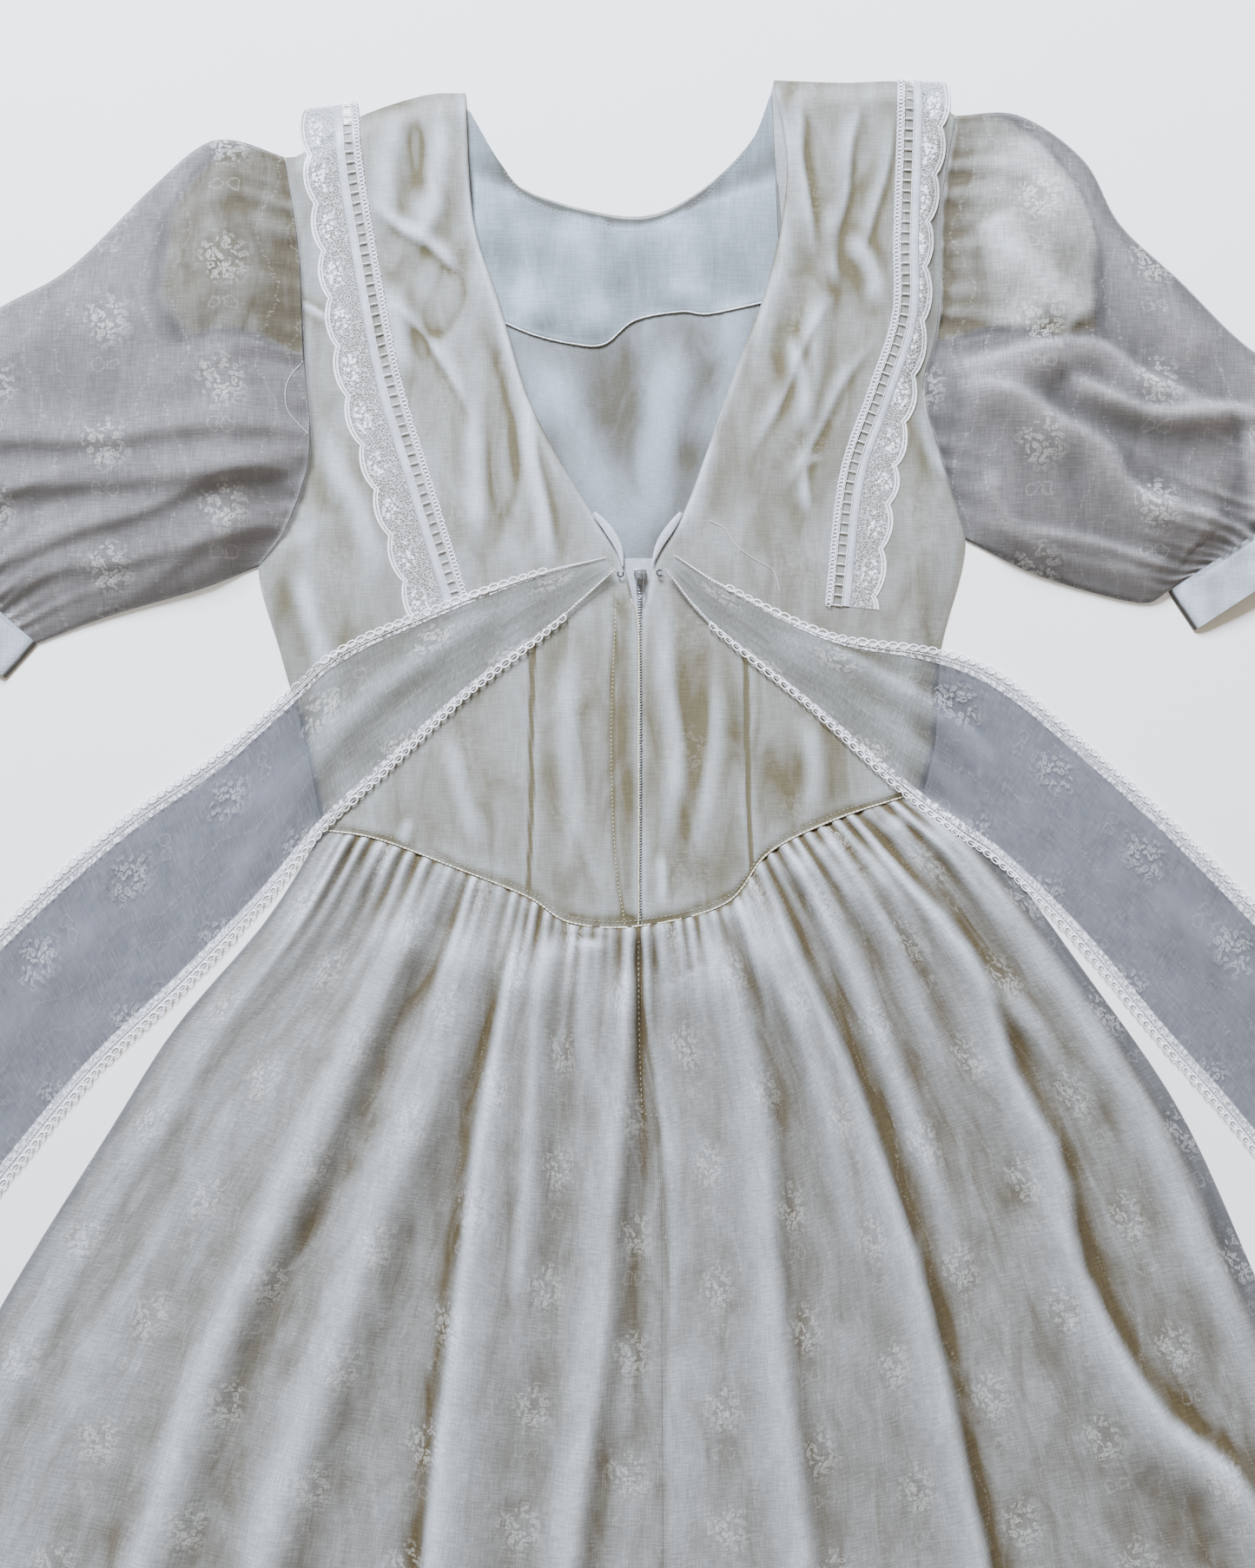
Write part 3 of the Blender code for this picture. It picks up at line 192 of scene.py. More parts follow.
def floral_repeat():
    """White printed sprigs on the voile: bouquets and bows in a half-drop repeat, and dotted vines.

    The real sprigs are finer and stand closer. They are drawn about 34 mm wide to show.
    """
    group = bpy.data.node_groups.new("floral_repeat", "ShaderNodeTree")
    group.interface.new_socket("Cloth", in_out="INPUT", socket_type="NodeSocketVector")
    group.interface.new_socket("Print", in_out="OUTPUT", socket_type="NodeSocketFloat")
    start, end = add(group, "NodeGroupInput"), add(group, "NodeGroupOutput")
    wide, high = 68.0, 72.0
    bouquet_size = (1 / 17.0, 1 / 19.0, 0)
    vine_bend, vine_place, vine_step = 6.0, wide / 2 - 9.0, 2.6
    bow_side, bow_drop, bow_radius = 4.4, 27.0, 3.3
    in_mm = add(group, VECTOR_MATH, (start.outputs[0], (1000, 1000, 0)), operation="MULTIPLY")
    wander = add(group, NOISE, {"Vector": in_mm, "Scale": 0.16, "Detail": 2.0})
    drift = add(group, VECTOR_MATH, (wander.outputs["Color"], (9.0, 9.0, 0), in_mm), operation="MULTIPLY_ADD")
    place = add(group, "ShaderNodeSeparateXYZ", (drift,))
    x, y = place.outputs[0], place.outputs[1]

    repeats = add(group, MATH, (x, wide), operation="DIVIDE")
    column = add(group, MATH, (repeats,), operation="FLOOR")
    dropped = add(group, MATH, (column, high / 2, y), operation="MULTIPLY_ADD")
    turn_x = add(group, MATH, (x, wide), operation="FLOORED_MODULO")
    turn_y = add(group, MATH, (dropped, high), operation="FLOORED_MODULO")
    local_x = add(group, MATH, (turn_x, wide / 2), operation="SUBTRACT")
    local_y = add(group, MATH, (turn_y, high / 2), operation="SUBTRACT")
    from_middle = add(group, MATH, (local_x,), operation="ABSOLUTE")

    local = add(group, JOIN_XYZ, (local_x, local_y))
    squeezed = add(group, VECTOR_MATH, (local, bouquet_size), operation="MULTIPLY")
    radius = add(group, VECTOR_MATH, (squeezed,), operation="LENGTH").outputs["Value"]
    bouquet = add(group, MAP_RANGE, {"Value": radius, "From Min": 1.1, "From Max": 0.45})
    petals = add(group, VORONOI, {"Vector": local, "Scale": 0.29}).outputs["Distance"]
    past_rim = add(group, MATH, (petals, 0.36), operation="SUBTRACT")
    from_rim = add(group, MATH, (past_rim,), operation="ABSOLUTE")
    petal = add(group, MAP_RANGE, {"Value": from_rim, "From Min": 0.16, "From Max": 0.06})
    eye = add(group, MAP_RANGE, {"Value": petals, "From Min": 0.16, "From Max": 0.10})
    flower = add(group, MATH, (petal, eye), operation="MAXIMUM")
    flowers = add(group, MATH, (bouquet, flower), operation="MULTIPLY")

    phase = add(group, MATH, (dropped, 2 * math.pi / high), operation="MULTIPLY")
    bend = add(group, MATH, (phase,), operation="SINE")
    vine_x = add(group, MATH, (bend, vine_bend, vine_place), operation="MULTIPLY_ADD")
    away = add(group, MATH, (from_middle, vine_x), operation="SUBTRACT")
    dot_turn = add(group, MATH, (y, vine_step), operation="FLOORED_MODULO")
    dot_y = add(group, MATH, (dot_turn, vine_step / 2), operation="SUBTRACT")
    from_dot = add(group, JOIN_XYZ, (away, dot_y))
    dot = add(group, VECTOR_MATH, (from_dot,), operation="LENGTH").outputs["Value"]
    vine = add(group, MAP_RANGE, {"Value": dot, "From Min": 0.9, "From Max": 0.5, "To Max": 0.35})

    loop_x = add(group, MATH, (from_middle, bow_side), operation="SUBTRACT")
    loop_y = add(group, MATH, (local_y, bow_drop), operation="ADD")
    from_loop = add(group, JOIN_XYZ, (loop_x, loop_y))
    loop = add(group, VECTOR_MATH, (from_loop,), operation="LENGTH").outputs["Value"]
    past_ring = add(group, MATH, (loop, bow_radius), operation="SUBTRACT")
    ring = add(group, MATH, (past_ring,), operation="ABSOLUTE")
    bow = add(group, MAP_RANGE, {"Value": ring, "From Min": 0.7, "From Max": 0.2, "To Max": 0.4})
    sprigs = add(group, MATH, (flowers, vine), operation="MAXIMUM")
    everything = add(group, MATH, (sprigs, bow), operation="MAXIMUM")
    group.links.new(everything.outputs[0], end.inputs[0])
    return group


FLORAL = floral_repeat()


def bare_material(name):
    """A new material and its tree, still without nodes."""
    made = bpy.data.materials.new(name)
    made.use_nodes = True
    made.node_tree.nodes.clear()
    return made, made.node_tree


def voile(name, light, deep, ground=None, alpha=1.0, printed=0.3, thread=0.9, roughness=0.82,
          contrast=1.2):
    """Cotton voile: fine uneven threads both ways, painted shade in its folds, and a faint white print.

    Real threads are 0.2 mm apart, too fine to show, so they are drawn 0.9 mm apart. The sheer kinds
    show the ground under them where no cloth lies close below. The fold mark paints warm shade in the
    hollows and a cool highlight on the ridges, over that ground too.
    """
    made, tree = bare_material(name)
    place = add(tree, "ShaderNodeUVMap", uv_map=CLOTH_UV)
    close, drawn_out = 1000 / thread, 1000 / (12 * thread)
    ways = []
    for scale in ((close, drawn_out, 1), (drawn_out, close, 1)):
        scaled = add(tree, MAPPING, {"Vector": place, "Scale": scale})
        ways.append(add(tree, NOISE, {"Vector": scaled, "Scale": 1.0, "Detail": 1.0}, noise_dimensions="2D"))
    threads = add(tree, MATH, ways, operation="ADD")
    stretched = add(tree, MAPPING, {"Vector": place, "Scale": (60.0, 20.0, 1.0)})
    crumple = add(tree, NOISE, {"Vector": stretched, "Scale": 1.0, "Detail": 3.0, "Distortion": 0.7},
                  noise_dimensions="2D")
    cloud = add(tree, MAP_RANGE, {"Value": crumple, "From Min": 0.3, "From Max": 0.7, "To Min": -0.11,
                                  "To Max": 0.11})
    # The fold mark: painted shade in the hollows and a painted highlight on the ridges.
    fold = add(tree, ATTRIBUTE, attribute_name="fold").outputs["Fac"]
    drawn = add(tree, MAP_RANGE, {"Value": fold, "To Min": 0.5 - contrast / 2, "To Max": 0.5 + contrast / 2},
                clamp=False)
    toned = add(tree, MATH, (cloud, drawn), operation="ADD", use_clamp=True)
    tone = add(tree, MIX, {SHARE: toned, FIRST: linear(deep), SECOND: linear(light)}, data_type="RGBA")
    colour = tone.outputs[MIXED]
    if ground:
        over = add(tree, ATTRIBUTE, attribute_name="over").outputs["Fac"]
        depth = add(tree, MAP_RANGE, {"Value": toned, "To Min": 0.45, "To Max": 1.70})
        bare = add(tree, MIX, {SHARE: 1.0, FIRST: linear(ground), SECOND: depth.outputs[0]},
                   data_type="RGBA", blend_type="MULTIPLY")
        mixed = add(tree, MIX, {SHARE: over, FIRST: bare.outputs[MIXED], SECOND: colour}, data_type="RGBA")
        colour = mixed.outputs[MIXED]
    strands = add(tree, MAP_RANGE, {"Value": threads, "From Min": 0.7, "From Max": 1.3, "To Min": 0.88,
                                    "To Max": 1.10})
    woven = add(tree, MIX, {SHARE: 1.0, FIRST: colour, SECOND: strands.outputs[0]}, data_type="RGBA",
                blend_type="MULTIPLY")
    flowers = add(tree, "ShaderNodeGroup", node_tree=FLORAL)
    tree.links.new(place.outputs[0], flowers.inputs[0])
    strength = add(tree, MATH, (flowers, printed), operation="MULTIPLY")
    finished = add(tree, MIX, {SHARE: strength, FIRST: woven.outputs[MIXED], SECOND: linear("F4F3EE")},
                   data_type="RGBA")
    bump = add(tree, BUMP, {"Height": threads, "Strength": 0.25, "Distance": 0.0003})
    shader = add(tree, SURFACE, {
        "Base Color": finished.outputs[MIXED], "Roughness": roughness, "Normal": bump,
        "Sheen Weight": 0.15, "Sheen Roughness": 0.4, "Specular IOR Level": 0.25})
    if alpha < 1:
        open_weave = add(tree, MAP_RANGE, {"Value": threads, "From Min": 0.6, "From Max": 1.4,
                                           "To Min": alpha - 0.12, "To Max": alpha + 0.12})
        solid = add(tree, MATH, (open_weave, strength), operation="ADD", use_clamp=True)
        tree.links.new(solid.outputs[0], shader.inputs["Alpha"])
    add(tree, OUTPUT, (shader,))
    return made


def dressed(obj, nodes):
    """Puts a cloth piece on the dress body and hides the CAD nodes that it stands for."""
    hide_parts(*nodes)
    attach(obj, "dress")
    return obj


def body_side(armhole, side, steps):
    """The outer edge of the bodice: its armhole, then its side seam."""
    return smooth_line(armhole + side[1:], steps)


# Cream cotton voile: matt, with warm painted shade in its hollows and a cool painted highlight on
# its ridges, and a print that barely shows.
cream_voile = voile("cream_cotton_voile", "C3CACF", "5F5843", printed=0.06, contrast=1.9)
across, down = even(60), even(40)
top = np.vstack([smooth_line(SHOULDER_LEFT, even(18))[:-1], smooth_line(NECK_FRONT, even(26))[:-1],
                 smooth_line(SHOULDER_RIGHT[::-1], even(16))])
waist = smooth_line(WAIST_LEFT + WAIST_RIGHT[1:], across)
plan = panel(top, waist, body_side(ARMHOLE_LEFT, SIDE_LEFT, down), body_side(ARMHOLE_RIGHT, SIDE_RIGHT, down),
             across, down)
front_bodice = lay("front_bodice_cloth", plan, FRONT_Z, cream_voile, marks={"fold": 0.5})
dressed(front_bodice, ["front_bodice"])
hem = smooth_line(HEM_LEFT + HEM_RIGHT[1:], across)
plan = panel(waist - (0, SEAM_GAP), hem, smooth_line(SKIRT_LEFT, down), smooth_line(SKIRT_RIGHT, down),
             across, down)
front_skirt = lay("front_skirt_cloth", plan, FRONT_Z, cream_voile, marks={"fold": 0.5})
dressed(front_skirt, ["front_skirt"])

# The inside of the front, seen through the open back. A smooth white lining hangs under a wide
# neck facing of plain woven cotton, whose lower edge is rolled and wavy.
LINING_FOLDS = [
    # height, spread to the right, spread to the left, line down the lining
    (1.6, 9, 12, [(-56, 350), (-46, 312), (-24, 262), (-2, 200)]),
    (1.9, 9, 10, [(26, 356), (20, 318), (10, 272), (6, 215)]),
    (-0.5, 8, 9, [(-14, 350), (-12, 322), (-6, 285)]),
    (-0.5, 8, 8, [(48, 345), (42, 312), (28, 262)]),
    (1, 9, 9, [(-70, 400), (-66, 350), (-50, 280)]),
    (1.2, 8, 10, [(60, 380), (54, 330), (36, 270)])]
FACING_EDGE = [
    (-97, 372), (-88, 361), (-64.1, 349.2), (-38, 343), (-20, 343.1), (-2.1, 356.9), (25.1, 362.1),
    (43.1, 361), (84, 370)]
FACING_FOLDS = [
    (1.2, 10, 12, [(-40, 425), (-30, 385), (-24, 345)]),
    (1, 12, 9, [(22, 425), (26, 390), (24, 362)]),
    (0.7, 12, 9, [(-70, 425), (-62, 390), (-58, 352)])]
LINING_Z, LINING_HOLLOW, LINING_SHADE = 1.3, -0.3, 0.14
LINING_LEFT = [(-96, 440), (-96, 330), (-66, 210), (-46, 80)]
LINING_RIGHT = [(82, 440), (88, 330), (62, 210), (46, 80)]
LINING_TOP = [(-96, 440), (-62, 428), (-3.6, 412), (36, 425), (82, 440)]
FACING_LIFT, EDGE_ROLL, ROLL_PLACE, ROLL_SPREAD = 0.5, 0.9, 0.985, 0.012
CLOTH_GAP = 0.35
# A fold that ends below the first y runs out over the hem. One that starts below the second swells slowly.
FREE_END_Y, LATE_START_Y, LATE_FADE = -700.0, -200.0, 0.6


def folds(plan, table, fade=0.25, tail=None):
    """The summed height of soft folds, each along a line and with its own spread on each side."""
    total = np.zeros(plan.shape[:2])
    points = plan.reshape(-1, 2)
    for height, right, left, line in table:
        steps = 28
        path = smooth_line(line, even(steps))
        best = np.full(len(points), 1e9)
        side, share = np.zeros(len(points)), np.zeros(len(points))
        for k, (start, end) in enumerate(zip(path, path[1:])):
            along = end - start
            reach = np.clip((points - start) @ along / (along @ along), 0, 1)
            gap = points - start - reach[:, None] * along
            away = np.linalg.norm(gap, axis=1)
            closer = away < best
            best[closer] = away[closer]
            side[closer] = (gap[:, 0] * -along[1] + gap[:, 1] * along[0])[closer]
            share[closer] = ((k + reach) / steps)[closer]
        spread = np.where(side > 0, right, left)
        last = fade if tail is None or line[-1][1] < FREE_END_Y else tail
        first = fade if line[0][1] > LATE_START_Y else LATE_FADE
        ends = soft_step(share, 0, first) * soft_step(1 - share, 0, last)
        total += (height * ends * np.exp(-0.5 * (best / spread) ** 2)).reshape(total.shape)
    return total


def ripple(plan, size, seed):
    """Soft uneven waves of about the given size, from about -1 to 1."""
    random = np.random.default_rng(seed)
    total, waves = np.zeros(plan.shape[:2]), 7
    for _ in range(waves):
        turn, phase = random.uniform(0, math.pi), random.uniform(0, 2 * math.pi)
        wave = 2 * math.pi / (size * random.uniform(0.7, 1.5))
        total += np.sin((plan[..., 0] * math.cos(turn) + plan[..., 1] * math.sin(turn)) * wave + phase)
    return total / (waves / 2)


def fold_mark(heights, rounds=30, depth=0.8):
    """From 0 in a hollow to 1 on a ridge standing out by about the given depth; it sets painted shade and
    highlight.
    """
    return 0.5 + 0.5 * np.tanh((heights - soften(heights, rounds)) / (1.6 * depth))


# Smooth polyester lining: closer threads and a softer shine than cotton, with painted shade in its
# hollows and a painted highlight on its ridges, so its folds look round.
white_lining = voile("white_polyester_lining", "A8B6C3", "57544A", printed=0.0, thread=0.5, roughness=0.5,
                     contrast=1.4)
across, down = even(60), even(110)
plan = panel(smooth_line(LINING_TOP, across), smooth_line([(-46, 80), (46, 80)], across),
             smooth_line(LINING_LEFT, down), smooth_line(LINING_RIGHT, down), across, down)
heights = LINING_Z + np.maximum(folds(plan, LINING_FOLDS), LINING_HOLLOW) + 0.15 * (1 + ripple(plan, 40, 3))
front_lining = lay("front_lining_cloth", plan, heights, white_lining,
                   marks={"fold": fold_mark(heights, 110, 1.0) - LINING_SHADE})
dressed(front_lining, ["front_lining"])

# Plain woven cotton: coarser threads and no print, so it looks firmer and whiter than the voile.
# Its folds carry painted shade and highlight.
white_cotton = voile("white_woven_cotton", "A6B3C0", "50524F", printed=0.0, thread=1.1, contrast=2.0)
across, down = even(110), even(34)
facing_left, facing_right = [(-100.0, 482.0), (-97.0, 372.0)], [(78.5, 492.0), (84.0, 370.0)]
plan = panel(smooth_line(NECK_FRONT, across) * (0.985, 1) - (0, 1.5), smooth_line(FACING_EDGE, across),
             smooth_line(facing_left, down), smooth_line(facing_right, down), across, down)


def tops(plan):
    """The highest cloth under each plan point, or 0 over the bare floor."""
    found = np.zeros(plan.shape[:2])
    down_ray = Vector((0, 0, -1))
    for row in range(plan.shape[0]):
        for column in range(plan.shape[1]):
            above = Vector((plan[row, column, 0] * MM, (plan[row, column, 1] + WAIST_PLACE) * MM, 1.0))
            hits = [tree.ray_cast(above, down_ray)[0] for tree in laid]
            found[row, column] = max([hit.z / MM for hit in hits if hit], default=0.0)
    return found


def draped(under, clearance, rounds):
    """Cloth that lies on what is under it and bridges its hollows."""
    lowest = under + clearance
    heights = lowest
    for _ in range(rounds):
        heights = np.maximum(soften(heights, 1), lowest)
    return heights


roll = EDGE_ROLL * np.exp(-(((down[:, None] - ROLL_PLACE) / ROLL_SPREAD) ** 2))
heights = draped(tops(plan), CLOTH_GAP, 12) + FACING_LIFT + np.maximum(folds(plan, FACING_FOLDS), 0) + roll
heights[-1] -= FACING_LIFT
facing = lay("front_facing_cloth", plan, heights, white_cotton, marks={"fold": fold_mark(heights, 60, 0.6)})
dressed(facing, ["front_facing"])


LOWEST_THREAD = 0.7


def row_of(name, path, spacing, size, finish, ring=False, seed=1):
    """Repeats a small stitch, or a ring of thread, along a path. Sizes are in millimetres."""
    tree = bpy.data.node_groups.new(name, "GeometryNodeTree")
    tree.interface.new_socket("Path", in_out="INPUT", socket_type="NodeSocketGeometry")
    wanted = {"Spacing": spacing * MM, "Length": size[0], "Width": size[1], "Height": size[2]}
    for label in wanted:
        tree.interface.new_socket(label, in_out="INPUT", socket_type="NodeSocketFloat")
    tree.interface.new_socket("Repeats", in_out="OUTPUT", socket_type="NodeSocketGeometry")
    start = add(tree, "NodeGroupInput")
    line = add(tree, "GeometryNodeMeshToCurve", (start.outputs["Path"],))
    even_line = add(tree, "GeometryNodeResampleCurve", {"Curve": line, "Length": start.outputs["Spacing"]},
                    mode="LENGTH")
    if ring:
        circle = add(tree, "GeometryNodeCurvePrimitiveCircle", {"Resolution": 12, "Radius": MM})
        wire = add(tree, "GeometryNodeCurvePrimitiveCircle", {"Resolution": 4, "Radius": 0.26 * MM})
        shape = add(tree, "GeometryNodeCurveToMesh", {"Curve": circle, "Profile Curve": wire})
    else:
        shape = add(tree, "GeometryNodeMeshUVSphere", {"Segments": 6, "Rings": 4, "Radius": MM})
    tangent = add(tree, "GeometryNodeInputTangent")
    turn = add(tree, "FunctionNodeAlignRotationToVector", {"Vector": tangent}, axis="X")
    scale = add(tree, JOIN_XYZ, [start.outputs[label] for label in ("Length", "Width", "Height")])
    uneven = add(tree, "FunctionNodeRandomValue", {2: 0.86, 3: 1.14, "Seed": seed}, data_type="FLOAT")
    scaled = add(tree, VECTOR_MATH, {0: scale, "Scale": uneven.outputs[1]}, operation="SCALE")
    placed = add(tree, "GeometryNodeInstanceOnPoints", {
        "Points": even_line, "Instance": shape, "Rotation": turn, "Scale": scaled})
    real = add(tree, "GeometryNodeRealizeInstances", (placed,))
    painted = add(tree, "GeometryNodeSetMaterial", {"Geometry": real, "Material": finish})
    add(tree, "NodeGroupOutput", (painted,))
    mesh = bpy.data.meshes.new(name + "_path")
    raised = np.maximum(np.asarray(path), (-np.inf, -np.inf, LOWEST_THREAD))
    points = ((raised + (0, WAIST_PLACE, 0)) * MM).tolist()
    mesh.from_pydata(points, [(k, k + 1) for k in range(len(points) - 1)], [])
    guide = in_scene(name + "_path", mesh)
    modifier = guide.modifiers.new("repeat", "NODES")
    modifier.node_group = tree
    for item in tree.interface.items_tree:
        if item.in_out == "INPUT" and item.name in wanted:
            modifier[item.identifier] = wanted[item.name]
    guide.update_tag()
    graph = bpy.context.evaluated_depsgraph_get()
    made = bpy.data.meshes.new_from_object(guide.evaluated_get(graph))
    made.name = name
    bpy.data.objects.remove(guide)
    made.materials.clear()
    made.materials.append(finish)
    made.shade_smooth()
    obj = in_scene(name, made)
    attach(obj, "dress")
    return obj


def path_on(line, lift, steps=200):
    """A line in plan, laid on the cloth under it."""
    plan = smooth_line(line, even(steps))[None]
    return np.dstack([plan, tops(plan) + lift])[0]


def sewing_thread(name, colour, roughness=0.6):
    """Spun sewing cotton: matt, with a slight change of tone along it."""
    made, tree = bare_material(name)
    place = add(tree, "ShaderNodeTexCoord")
    twist = add(tree, NOISE, {"Vector": place.outputs["Object"], "Scale": 900.0})
    shade = add(tree, MAP_RANGE, {"Value": twist, "From Min": 0.3, "From Max": 0.7, "To Min": 0.86,
                                  "To Max": 1.06})
    toned = add(tree, MIX, {SHARE: 1.0, FIRST: linear(colour), SECOND: shade.outputs[0]}, data_type="RGBA",
                blend_type="MULTIPLY")
    shader = add(tree, SURFACE, {"Base Color": toned.outputs[MIXED], "Roughness": roughness,
                                 "Sheen Weight": 0.2})
    add(tree, OUTPUT, (shader,))
    return made


# Topstitching sinks into the cloth, so its thread is painted in shade, greyer than the thread of a
# rolled edge.
shaded_thread = sewing_thread("shaded_sewing_cotton", "A9A89E")
white_thread = sewing_thread("white_sewing_cotton", "E6EBF0")
row_of("facing_hem_roll", path_on([(x, y + 0.5) for x, y in FACING_EDGE], 0.1, 300), 1.5,
       (1.1, 0.55, 0.35), white_thread)
stitch_line = [(x * 0.96, y - 6.5) for x, y in NECK_FRONT[1:-1]]
row_of("neck_topstitch", path_on(stitch_line, 0.15), 2.6, (0.8, 0.22, 0.18), shaded_thread)

# The back of the bodice: cotton voile in two halves, fitted with a dart each, with soft rolled
# edges along the deep V. Its left half laps over the zip with a folded edge.
V_LEFT = [(-102, 492), (-96.9, 415.9), (-82.1, 368.7), (-62.6, 306.2), (-27.2, 243.1), (-10, 216)]
V_RIGHT = [(80, 499.5), (87.2, 441.5), (76.4, 380.5), (56.4, 325.6), (28.2, 247.2), (11, 218)]
LAP_LEFT = [(-10, 216), (-3.4, 192), (0.6, 176), (0.7, 90), (0.7, 0)]
LAP_RIGHT = [(11, 218), (4, 192), (1.4, 176), (1.3, 90), (1.3, 0)]
BODICE_BASE, BODICE_LOWEST, SEAM_Z = 4.6, 4.0, 0.7
FOLD_SHARE = 0.62
BODICE_FOLDS = [
    # height, spread to the right, spread to the left, line
    (4.2, 6, 6.8, [(-139, 490), (-147, 447), (-151, 400)]),
    (-2.6, 4.2, 5.1, [(-134, 480), (-129, 455), (-128, 420)]),
    (4.5, 5.1, 7.6, [(-120, 492), (-117, 455), (-123, 418), (-143, 390)]),
    (3.5, 3.4, 7.6, [(-104, 490), (-105, 461), (-100, 428), (-90, 381), (-80, 349), (-68, 310), (-48, 265),
        (-24, 222)]),
    (-2.9, 6, 6.8, [(-100, 412), (-111, 369), (-131, 339), (-139, 330)]),
    (3.2, 5.1, 5.1, [(-147, 385), (-142, 357), (-137, 318)]),
    (3.5, 2.5, 5.1, [(-66, 318), (-63, 281), (-55, 241), (-51, 205)]),
    (-3, 5.1, 6, [(-92, 381), (-82, 330), (-78, 271), (-82, 218)]),
    (2.9, 4.2, 6, [(-98, 315), (-96, 271), (-94, 215)]),
    (2.9, 6, 6.8, [(-192, 306), (-176, 267), (-164, 245), (-151, 200)]),
    (2.2, 5.1, 5.1, [(-205, 222), (-192, 180), (-176, 130)]),
    (1.4, 1, 2, [(-203, 371), (-190, 363), (-180, 355)]),
    (4.2, 2.5, 6.8, [(95, 498), (94, 457), (98, 428), (103, 388)]),
    (3, 2.2, 5.5, [(132, 492), (124, 462), (121, 430), (112, 396)]),
    (2.6, 2, 4.5, [(150, 486), (146, 450), (136, 415), (128, 385)]),
    (2.4, 4.5, 2, [(-160, 430), (-140, 412), (-118, 398), (-96, 372)]),
    (2.2, 4.5, 2, [(-150, 372), (-128, 352), (-108, 322), (-92, 290)]),
    (2.2, 2.2, 4.5, [(142, 350), (120, 322), (104, 290), (82, 250)]),
    (2, 2.2, 4.5, [(120, 380), (98, 346), (84, 312), (60, 270)]),
    (3.2, 6.8, 3.4, [(86, 445), (86, 396), (72, 349), (67, 312)]),
    (2, 3, 5, [(116, 430), (113, 400), (116, 372)]),
    (4.5, 5.1, 6.8, [(111, 398), (104, 349), (100, 310), (80, 270)]),
    (2.9, 4.2, 5.1, [(123, 412), (139, 381), (137, 360)]),
    (2.6, 3.4, 5.1, [(86, 355), (96, 320), (98, 285)]),
    (1.6, 1.7, 3.4, [(112, 277), (98, 271), (100, 240)]),
    (2.9, 6.8, 3.4, [(44, 300), (36, 262), (22, 225)]),
    (2.2, 5.1, 4.2, [(160, 320), (172, 284), (184, 270), (200, 268)]),
    (2.6, 4.2, 6.8, [(18, 205), (16, 150), (22, 100), (14, 30)]),
    (2.4, 6, 4.2, [(44, 170), (46, 120), (40, 70), (30, 29)]),
    (1.4, 1.7, 3.4, [(14, 46), (15, 8)]),
    (2.2, 5.1, 6, [(-36, 180), (-42, 120), (-38, 60), (-44, 20)]),
    (1.9, 5.1, 5.1, [(-112, 120), (-104, 80), (-92, 40)]),
    (1.3, 2.5, 2.5, [(-134, 66), (-140, 44)]),
    (2.1, 5.1, 5.1, [(96, 130), (104, 90), (98, 55)])]
DARTS = {
    "left": [(-62, 176), (-63, 111), (-63, 69), (-65, 18)],
    "right": [(63, 176), (64, 111), (65, 69), (67, 32)]}
LAP_STITCH = [(-13, 196), (-16, 111), (-13.5, 40), (-8, 2)]
LAP_BAND = [
    (1, 8, 3, [(-9, 205), (-8, 111), (-6, 40), (-3, 0)])]
STITCH_DEPTH, STITCH_WIDTH, LAP_STITCH_DEPTH = 0.7, 0.9, 0.9
# Painted shade and highlight on the bodice: shares from broad folds and fine creases, then how much darker
# overall, at the foot, to the right, along the stitching and the lap, and how much lighter at the edge.
BROAD_FOLD_SHADE, FINE_CREASE_SHADE = 0.45, 0.55
BODICE_SHADE, FOOT_SHADE, RIGHT_SHADE = 0.08, 0.04, 0.05
STITCH_SHADE, LAP_SHADE, EDGE_LIGHT = 0.16, 0.13, 0.22
LOWEST_CLOTH = 0.1


def near_line(plan, line, spread):
    """1 on a line, fading to 0 over the spread."""
    return folds(plan, [(1.0, spread, spread, line)], fade=0.02)


def bodice_heights(plan, across, down, outer, dart, edge):
    """The back of a bodice half over the front: sewn down at its outer edge, lifted by its folds."""
    from_side = across if outer == "left" else 1 - across
    sewn = soft_step(from_side[None, :], 0, 0.11) * soft_step(down[:, None], 0, 0.03)
    heights = BODICE_BASE + FOLD_SHARE * folds(plan, BODICE_FOLDS, 0.35)
    heights = heights + 0.5 * ripple(plan * (1, 0.45), 48, 5)
    for line in (dart, edge):
        heights -= STITCH_DEPTH * near_line(plan, line, STITCH_WIDTH)
    heights -= 1.0 * np.exp(-0.5 * ((1 - down[:, None]) / 0.008) ** 2)
    free = np.maximum(heights, BODICE_LOWEST)
    return SEAM_Z + sewn * (free - SEAM_Z), free


def turned_under(plan, heights, last, depth=5.0, drop=0.9):
    """A folded edge: extra columns that turn back under the last or first column."""
    edge, inner = (plan[:, -1:], plan[:, -2:-1]) if last else (plan[:, :1], plan[:, 1:2])
    inward = (inner - edge) / np.linalg.norm(inner - edge, axis=2, keepdims=True)
    edge_z = heights[:, -1:] if last else heights[:, :1]
    # how far each extra column turns in, and how far it falls
    turns = [(0.0 * inward, 0.35), (0.6 * inward, 0.75), (depth * inward, drop)]
    extra = [edge + step for step, _ in turns]
    extra_z = [np.maximum(edge_z - fall, LOWEST_CLOTH) for _, fall in turns]
    if last:
        return np.concatenate([plan, *extra], axis=1), np.concatenate([heights, *extra_z], axis=1)
    return np.concatenate([*extra[::-1], plan], axis=1), np.concatenate([*extra_z[::-1], heights], axis=1)


